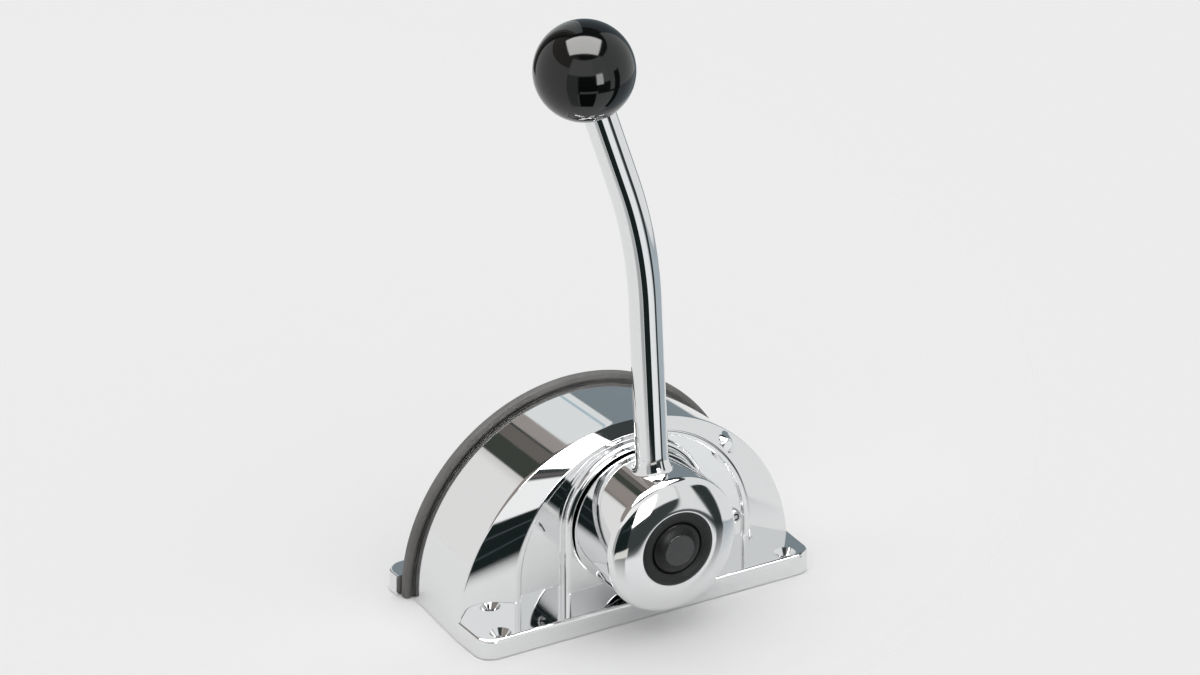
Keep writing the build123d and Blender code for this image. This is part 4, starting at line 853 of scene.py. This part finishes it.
def number_group(name, inputs, outputs):
    """Starts a node group with these inputs, each with its first value, and these outputs, all numbers."""
    tree = bpy.data.node_groups.new(name, "ShaderNodeTree")
    for label, value in inputs.items():
        made = tree.interface.new_socket(label, in_out="INPUT", socket_type="NodeSocketFloat")
        made.default_value = value
    for label in outputs:
        tree.interface.new_socket(label, in_out="OUTPUT", socket_type="NodeSocketFloat")
    return tree, add(tree, "NodeGroupInput").outputs, add(tree, "NodeGroupOutput").inputs


def handling_marks():
    """Group: wipe marks and hairlines on a polished surface. Gives a roughness and a height."""
    inputs = {"Clean": 0.05, "Smeared": 0.12}
    tree, given, out = number_group("handling_marks", inputs, ["Roughness", "Height"])
    place = add(tree, "ShaderNodeTexCoord").outputs["Object"]
    blotches = noise(tree, place, scale=22.0, detail=4.0, roughness=0.6)
    wipes = add(tree, "ShaderNodeMapping")
    wipes.inputs["Scale"].default_value = (14.0, 90.0, 260.0)
    wipes.inputs["Rotation"].default_value = (0.3, 0.5, 0.2)
    join(tree, place, wipes.inputs["Vector"])
    hairlines = noise(tree, wipes.outputs["Vector"], scale=3.0, detail=6.0, roughness=0.7)
    smear = remap(tree, blotches, low=0.46, high=0.72)
    lines = remap(tree, hairlines, low=0.55, high=0.75, new_high=0.35)
    amount = math_node(tree, "ADD", smear, lines, clamp=True)
    span = math_node(tree, "SUBTRACT", given["Smeared"], given["Clean"])
    rough = math_node(tree, "ADD", given["Clean"], math_node(tree, "MULTIPLY", span, amount))
    join(tree, rough, out["Roughness"])
    join(tree, noise(tree, place, scale=34.0, detail=1.0, roughness=0.4), out["Height"])
    return tree


def moulded_grain():
    """Group: the grain of a moulded or cast surface. Gives a roughness, a height and a broad shade."""
    inputs = {"Scale": 900.0, "Low": 0.4, "High": 0.6}
    tree, given, out = number_group("moulded_grain", inputs, ["Roughness", "Height", "Shade"])
    place = add(tree, "ShaderNodeTexCoord").outputs["Object"]
    fine = add(tree, "ShaderNodeTexNoise")
    fine.inputs["Detail"].default_value = 3.0
    join(tree, place, fine.inputs["Vector"])
    join(tree, given["Scale"], fine.inputs["Scale"])
    grain = fine.outputs["Fac"]
    broad = noise(tree, place, scale=45.0, detail=3.0, roughness=0.6)
    rough = remap(tree, grain, 0.3, 0.7, given["Low"], given["High"])
    join(tree, rough, out["Roughness"])
    join(tree, grain, out["Height"])
    join(tree, remap(tree, broad, low=0.35, high=0.7), out["Shade"])
    return tree


def turned_marks():
    """Group: tool lines of machined metal. Gives a roughness, a height and a mask of oiled patches."""
    inputs = {"Low": 0.2, "High": 0.4}
    tree, given, out = number_group("turned_marks", inputs, ["Roughness", "Height", "Oil"])
    place = add(tree, "ShaderNodeTexCoord").outputs["Object"]
    stretch = add(tree, "ShaderNodeMapping")
    stretch.inputs["Scale"].default_value = (60.0, 2200.0, 60.0)
    join(tree, place, stretch.inputs["Vector"])
    lines = noise(tree, stretch.outputs["Vector"], scale=1.0, detail=2.0, roughness=0.6)
    patches = noise(tree, place, scale=160.0, detail=4.0, roughness=0.6)
    rough = remap(tree, lines, 0.3, 0.7, given["Low"], given["High"])
    join(tree, rough, out["Roughness"])
    join(tree, lines, out["Height"])
    join(tree, remap(tree, patches, low=0.42, high=0.68), out["Oil"])
    return tree


def finish(name, group, inputs, colours, metallic, bump, shade=None, **sockets):
    """A material: a Principled shader fed by one surface group.

    Two colours are mixed by the group's shade, and one is set as it is. bump is a strength and a
    distance in metres. Other sockets of the shader are given by name.
    """
    material = bpy.data.materials.new(name)
    material.use_nodes = True
    tree = material.node_tree
    shader = tree.nodes["Principled BSDF"]
    surface = add(tree, "ShaderNodeGroup", node_tree=group)
    for label, value in inputs.items():
        surface.inputs[label].default_value = value
    join(tree, surface.outputs["Roughness"], shader.inputs["Roughness"])
    shader.inputs["Metallic"].default_value = metallic
    if shade:
        mix = add(tree, "ShaderNodeMix", data_type="RGBA")
        mix.inputs["A"].default_value = (*colours[0], 1)
        mix.inputs["B"].default_value = (*colours[1], 1)
        join(tree, surface.outputs[shade], mix.inputs["Factor"])
        join(tree, mix.outputs["Result"], shader.inputs["Base Color"])
    else:
        shader.inputs["Base Color"].default_value = (*colours[0], 1)
    relief = add(tree, "ShaderNodeBump")
    relief.inputs["Strength"].default_value = bump[0]
    relief.inputs["Distance"].default_value = bump[1]
    join(tree, surface.outputs["Height"], relief.inputs["Height"])
    join(tree, relief.outputs["Normal"], shader.inputs["Normal"])
    for label, value in sockets.items():
        shader.inputs[label.replace("_", " ")].default_value = value
    return material


def make_finishes():
    """Every finish of the object, by the record's slot."""
    marks, grain, tool = handling_marks(), moulded_grain(), turned_marks()
    return {
        "chrome": finish(
            "polished_chrome", marks, {"Clean": 0.035, "Smeared": 0.085},
            [(0.82, 0.825, 0.83)],
            metallic=1.0, bump=(0.04, 0.0004),
        ),
        "strip_rubber": finish(
            "strip_rubber", grain, {"Scale": 1500.0, "Low": 0.5, "High": 0.72},
            [(0.118, 0.116, 0.112), (0.150, 0.147, 0.142)],
            metallic=0.0, bump=(0.35, 0.0003), shade="Shade",
        ),
        "knob_black": finish(
            "knob_phenolic", marks, {"Clean": 0.05, "Smeared": 0.11},
            [(0.003, 0.0035, 0.0035)],
            metallic=0.0, bump=(0.03, 0.0004), Specular_IOR_Level=0.55,
        ),
        "bezel_black": finish(
            "bezel_nylon", grain, {"Scale": 2400.0, "Low": 0.42, "High": 0.6},
            [(0.015, 0.017, 0.017), (0.021, 0.023, 0.023)],
            metallic=0.0, bump=(0.25, 0.0002), shade="Shade", Specular_IOR_Level=0.3,
        ),
        "button_black": finish(
            "button_nylon", grain, {"Scale": 2000.0, "Low": 0.28, "High": 0.40},
            [(0.0055, 0.006, 0.006), (0.008, 0.0085, 0.0085)],
            metallic=0.0, bump=(0.1, 0.0002), shade="Shade", Specular_IOR_Level=0.32,
        ),
        "disc_gloss": finish(
            "disc_enamel", marks, {"Clean": 0.05, "Smeared": 0.12},
            [(0.006, 0.007, 0.0075)],
            metallic=0.0, bump=(0.03, 0.0004), Coat_Weight=0.6, Coat_Roughness=0.03,
        ),
        "brass": finish(
            "turned_brass", tool, {"Low": 0.22, "High": 0.38},
            [(0.72, 0.50, 0.22), (0.52, 0.35, 0.16)],
            metallic=1.0, bump=(0.12, 0.0002), shade="Oil",
        ),
        "gear_steel": finish(
            "hardened_steel", tool, {"Low": 0.3, "High": 0.46},
            [(0.36, 0.36, 0.37), (0.20, 0.19, 0.185)],
            metallic=1.0, bump=(0.15, 0.0002), shade="Oil",
        ),
        "shaft_steel": finish(
            "ground_steel", tool, {"Low": 0.16, "High": 0.3},
            [(0.56, 0.565, 0.58), (0.40, 0.40, 0.41)],
            metallic=1.0, bump=(0.1, 0.0002), shade="Oil",
        ),
        "spring_steel": finish(
            "spring_wire", tool, {"Low": 0.2, "High": 0.34},
            [(0.46, 0.47, 0.48), (0.33, 0.33, 0.33)],
            metallic=1.0, bump=(0.08, 0.0002), shade="Oil",
        ),
        "screw_steel": finish(
            "screw_steel", tool, {"Low": 0.2, "High": 0.36},
            [(0.62, 0.62, 0.63), (0.44, 0.44, 0.45)],
            metallic=1.0, bump=(0.1, 0.0002), shade="Oil",
        ),
        "bracket_zinc": finish(
            "zinc_plate", grain, {"Scale": 700.0, "Low": 0.3, "High": 0.46},
            [(0.60, 0.62, 0.64), (0.50, 0.51, 0.50)],
            metallic=1.0, bump=(0.1, 0.0003), shade="Shade",
        ),
        "pad_nylon": finish(
            "brake_nylon", grain, {"Scale": 1200.0, "Low": 0.45, "High": 0.6},
            [(0.62, 0.58, 0.47), (0.55, 0.50, 0.39)],
            metallic=0.0, bump=(0.15, 0.0003), shade="Shade",
        ),
    }


def dress_nodes(finishes):
    """Puts each finish on the construction nodes of its slot."""
    for row in frame["record"]["subparts"]:
        for place in frame["nodes"][row["node"]].material_slots:
            place.material = finishes[row["material_slot"]]


# The camera at the photograph's viewing angle. The aimed point lies this many pixels right of the
# picture's middle and below it
VIEW_AZIMUTH = math.radians(30.43)
VIEW_ELEVATION = math.radians(28.10)
VIEW_DISTANCE = 14.0
PIXELS_PER_METRE = 2060.1
FRAME_WIDTH = 1200
SENSOR = 36.0
AIM = Vector((0.0, -0.0215, 0.0))
AIM_RIGHT = 23.14
AIM_DOWN = 257.79


def place_camera():
    """A far camera on the photograph's line of sight, shifted across it to frame the lever."""
    back = Vector(
        (
            -math.sin(VIEW_AZIMUTH) * math.cos(VIEW_ELEVATION),
            -math.cos(VIEW_AZIMUTH) * math.cos(VIEW_ELEVATION),
            math.sin(VIEW_ELEVATION),
        )
    )
    right = Vector((math.cos(VIEW_AZIMUTH), -math.sin(VIEW_AZIMUTH), 0.0))
    up = back.cross(right)
    lens = bpy.data.cameras.new("camera")
    lens.sensor_width = SENSOR
    lens.lens = PIXELS_PER_METRE * VIEW_DISTANCE / FRAME_WIDTH * SENSOR
    lens.clip_start = 0.1
    lens.clip_end = 60.0
    camera = bpy.data.objects.new("camera", lens)
    shift = (up * AIM_DOWN - right * AIM_RIGHT) / PIXELS_PER_METRE
    place = AIM + back * VIEW_DISTANCE + shift
    camera.matrix_world = Matrix.Translation(place) @ Matrix((right, up, back)).transposed().to_4x4()
    bpy.context.scene.collection.objects.link(camera)
    bpy.context.scene.camera = camera


# The floor, in metres
FLOOR_MIDDLE = (-0.10, 0.25)
FLOOR_SOLID = 0.355
FLOOR_EDGE = 0.47
FLOOR_SHADE = (0.80, 0.80, 0.80)
FLOOR_RINGS = 12
FLOOR_DROP = 0.0003


def lay_floor():
    """A pale round table top that fades into the backdrop at its edge."""
    ring = np.linspace(0.0, FLOOR_EDGE, FLOOR_RINGS)
    turn = np.linspace(0, 2 * np.pi, SMALL_COLUMNS, endpoint=False)
    x = FLOOR_MIDDLE[0] + ring[:, None] * np.cos(turn)
    y = FLOOR_MIDDLE[1] + ring[:, None] * np.sin(turn)
    skin = Skin()
    skin.patch(np.stack([x, y, np.full_like(x, -FLOOR_DROP)], axis=-1), wrap=True)
    mesh = bpy.data.meshes.new("floor")
    mesh.from_pydata(skin.points[0].tolist(), [], skin.faces[0].tolist())
    floor = bpy.data.objects.new("floor", mesh)
    bpy.context.scene.collection.objects.link(floor)
    material = bpy.data.materials.new("floor_paper")
    material.use_nodes = True
    tree = material.node_tree
    tree.nodes.remove(tree.nodes["Principled BSDF"])
    paper = add(tree, "ShaderNodeBsdfDiffuse")
    paper.inputs["Color"].default_value = (*FLOOR_SHADE, 1)
    clear = add(tree, "ShaderNodeBsdfTransparent")
    away = add(tree, "ShaderNodeVectorMath", operation="DISTANCE")
    join(tree, add(tree, "ShaderNodeTexCoord").outputs["Object"], away.inputs[0])
    away.inputs[1].default_value = (*FLOOR_MIDDLE, 0.0)
    fade = remap(tree, away.outputs["Value"], FLOOR_SOLID, FLOOR_EDGE)
    mix = add(tree, "ShaderNodeMixShader")
    join(tree, fade, mix.inputs["Fac"])
    join(tree, paper.outputs[0], mix.inputs[1])
    join(tree, clear.outputs[0], mix.inputs[2])
    join(tree, mix.outputs[0], tree.nodes["Material Output"].inputs["Surface"])
    mesh.materials.append(material)


def soft_box_group():
    """Group: a soft-edged panel on the sky, by its middle and half size in degrees. Gives its mask."""
    angles = ["Azimuth", "Elevation", "Middle azimuth", "Middle elevation"]
    inputs = dict.fromkeys([*angles, "Half width", "Half height", "Edge"], 1.0)
    tree, given, out = number_group("soft_box", inputs, ["Mask"])

    def between(angle, middle, half, wrap):
        """The mask of one angle, one inside the panel's reach and zero outside."""
        away = math_node(tree, "SUBTRACT", given[angle], given[middle])
        if wrap:
            away = math_node(tree, "WRAP", away, HALF_TURN)
            away.node.inputs[2].default_value = -HALF_TURN
        away = math_node(tree, "ABSOLUTE", away)
        low = math_node(tree, "SUBTRACT", given[half], given["Edge"])
        high = math_node(tree, "ADD", given[half], given["Edge"])
        return remap(tree, away, low, high, 1.0, 0.0)

    across = between("Azimuth", "Middle azimuth", "Half width", True)
    upright = between("Elevation", "Middle elevation", "Half height", False)
    join(tree, math_node(tree, "MULTIPLY", across, upright), out["Mask"])
    return tree


# What polished metal sees of the studio. Each panel or dark flag has its azimuths, its elevations,
# the softness of its edge in degrees and its colour. A later one lies over an earlier one.
ROOM_SHADE = (0.045, 0.052, 0.053)
STUDIO = [
    ("low_front", (-180, 180), (-90, -27), 1.5, (0.90, 0.92, 0.93)),
    ("left_card", (-112, -15.5), (-90, 28), 0.6, (0.84, 0.835, 0.825)),
    ("left_high_card", (-130, -15), (28, 56), 3.0, (0.30, 0.27, 0.25)),
    ("left_flag", (-15.5, -7.5), (-90, 52), 0.4, (0.05, 0.058, 0.05)),
    ("back_grey", (-7.5, -1.3), (-90, 56), 0.3, (0.14, 0.13, 0.12)),
    ("back_brown", (-0.3, 6.3), (-90, 56), 0.3, (0.34, 0.31, 0.295)),
    ("back_card", (6.3, 26), (-90, 58), 0.4, (0.80, 0.82, 0.82)),
    ("back_seam", (22.4, 23.4), (-90, 58), 0.3, (0.42, 0.54, 0.60)),
    ("back_blue", (26, 62), (-90, 40), 0.5, (0.22, 0.265, 0.29)),
    ("right_card", (62, 152), (-23, 46), 1.0, (0.82, 0.83, 0.83)),
    ("right_low_card", (62, 126), (-90, -23), 0.8, (0.42, 0.48, 0.52)),
    ("right_flag", (127, 141), (-60, 9), 1.2, (0.03, 0.037, 0.038)),
    ("front_card", (152, 185), (-4, 50), 1.5, (0.88, 0.885, 0.885)),
    ("front_left_card", (-175, -112), (14, 50), 2.0, (1.0, 1.0, 1.0)),
    ("front_flag", (-177, -138), (-60, 14), 1.0, (0.010, 0.016, 0.016)),
    ("front_stripe", (-177, -136), (4, 5), 0.5, (0.07, 0.085, 0.09)),
    ("front_stripe_low", (-177, -136), (-6, -5), 0.5, (0.05, 0.065, 0.07)),
    ("front_beige", (-180, -140), (-26, -21), 0.6, (0.76, 0.75, 0.71)),
    ("side_grey", (-136, -112), (-60, 14), 2.5, (0.42, 0.43, 0.43)),
    ("front_box", (168, 183), (-7, 16), 1.0, (6.0, 6.0, 6.1)),
]
# The soft box overhead: its reach across and along the camera's line of sight, in degrees from straight up
OVERHEAD_ACROSS = (-33, 31)
OVERHEAD_ALONG = (-24.5, 20.5)
OVERHEAD_EDGE = 1.6
OVERHEAD_TINT = (9.0, 8.9, 8.8)
BACKDROP = (0.838, 0.84, 0.838)
LIGHT_LOW = 0.55
LIGHT_HIGH = 1.65
HALF_TURN = 180.0
WHOLE_SKY = 200.0


def light_studio():
    """The world: panels and flags for polished metal, a soft light from above, and a pale backdrop."""
    world = bpy.data.worlds.new("studio")
    bpy.context.scene.world = world
    world.use_nodes = True
    tree = world.node_tree
    tree.nodes.clear()
    split = add(tree, "ShaderNodeSeparateXYZ")
    sky = add(tree, "ShaderNodeTexCoord").outputs["Generated"]
    join(tree, sky, split.inputs[0])

    def degrees(operation, *lengths):
        """The angle that this function gives for these lengths, in degrees."""
        return math_node(tree, "MULTIPLY", math_node(tree, operation, *lengths), math.degrees(1))

    def hang(under, name, angles, reaches, edge, tint):
        """Lays one panel over the colour so far, or over the room's where there is none."""
        panel = add(tree, "ShaderNodeGroup", node_tree=box, label=name)
        for label, angle, reach in zip(("Azimuth", "Elevation"), angles, reaches):
            join(tree, angle, panel.inputs[label])
            panel.inputs[f"Middle {label.lower()}"].default_value = sum(reach) / 2
        width, height = (reach[1] - reach[0] for reach in reaches)
        whole_turn = width >= 2 * HALF_TURN
        panel.inputs["Half width"].default_value = WHOLE_SKY if whole_turn else width / 2
        panel.inputs["Half height"].default_value = height / 2
        panel.inputs["Edge"].default_value = edge
        over = add(tree, "ShaderNodeMix", data_type="RGBA")
        join(tree, panel.outputs["Mask"], over.inputs["Factor"])
        over.inputs["A"].default_value = (*ROOM_SHADE, 1)
        if under is not None:
            join(tree, under, over.inputs["A"])
        over.inputs["B"].default_value = (*tint, 1)
        return over.outputs["Result"]

    box = soft_box_group()
    azimuth = degrees("ARCTAN2", split.outputs["X"], split.outputs["Y"])
    elevation = degrees("ARCSINE", split.outputs["Z"])
    seen = None
    for name, azimuths, elevations, edge, tint in STUDIO:
        seen = hang(seen, name, (azimuth, elevation), (azimuths, elevations), edge, tint)
    turned_sky = add(tree, "ShaderNodeMapping", vector_type="VECTOR")
    turned_sky.inputs["Rotation"].default_value = (0, 0, VIEW_AZIMUTH)
    join(tree, sky, turned_sky.inputs["Vector"])
    lean = add(tree, "ShaderNodeSeparateXYZ")
    join(tree, turned_sky.outputs["Vector"], lean.inputs[0])
    overhead = (
        degrees("ARCTAN2", lean.outputs["X"], lean.outputs["Z"]),
        degrees("ARCTAN2", lean.outputs["Y"], lean.outputs["Z"]),
    )
    reaches = (OVERHEAD_ACROSS, OVERHEAD_ALONG)
    seen = hang(seen, "overhead_box", overhead, reaches, OVERHEAD_EDGE, OVERHEAD_TINT)
    mirror = add(tree, "ShaderNodeBackground")
    join(tree, seen, mirror.inputs["Color"])
    soft = add(tree, "ShaderNodeBackground")
    height = math_node(tree, "MAXIMUM", split.outputs["Z"], 0.0)
    join(tree, remap(tree, height, 0.0, 1.0, LIGHT_LOW, LIGHT_HIGH), soft.inputs["Strength"])
    backdrop = add(tree, "ShaderNodeBackground")
    backdrop.inputs["Color"].default_value = (*BACKDROP, 1)
    rays = add(tree, "ShaderNodeLightPath")
    metal = add(tree, "ShaderNodeMixShader")
    join(tree, rays.outputs["Is Glossy Ray"], metal.inputs["Fac"])
    join(tree, soft.outputs[0], metal.inputs[1])
    join(tree, mirror.outputs[0], metal.inputs[2])
    pick = add(tree, "ShaderNodeMixShader")
    join(tree, rays.outputs["Is Camera Ray"], pick.inputs["Fac"])
    join(tree, metal.outputs[0], pick.inputs[1])
    join(tree, backdrop.outputs[0], pick.inputs[2])
    join(tree, pick.outputs[0], add(tree, "ShaderNodeOutputWorld").inputs["Surface"])


finishes = make_finishes()
dress_nodes(finishes)
build_housing(finishes["chrome"])
build_cover(finishes["chrome"])
build_strip(finishes["strip_rubber"])
build_barrel(finishes["chrome"])
knob_centre, knob_axis = build_lever(finishes["chrome"])
build_knob(finishes["knob_black"], knob_centre, knob_axis)
build_bezel(finishes["bezel_black"])
build_button(finishes["button_black"], finishes["disc_gloss"])
build_friction_head(finishes["screw_steel"])
place_camera()
lay_floor()
light_studio()
bpy.context.scene.view_settings.view_transform = "Standard"
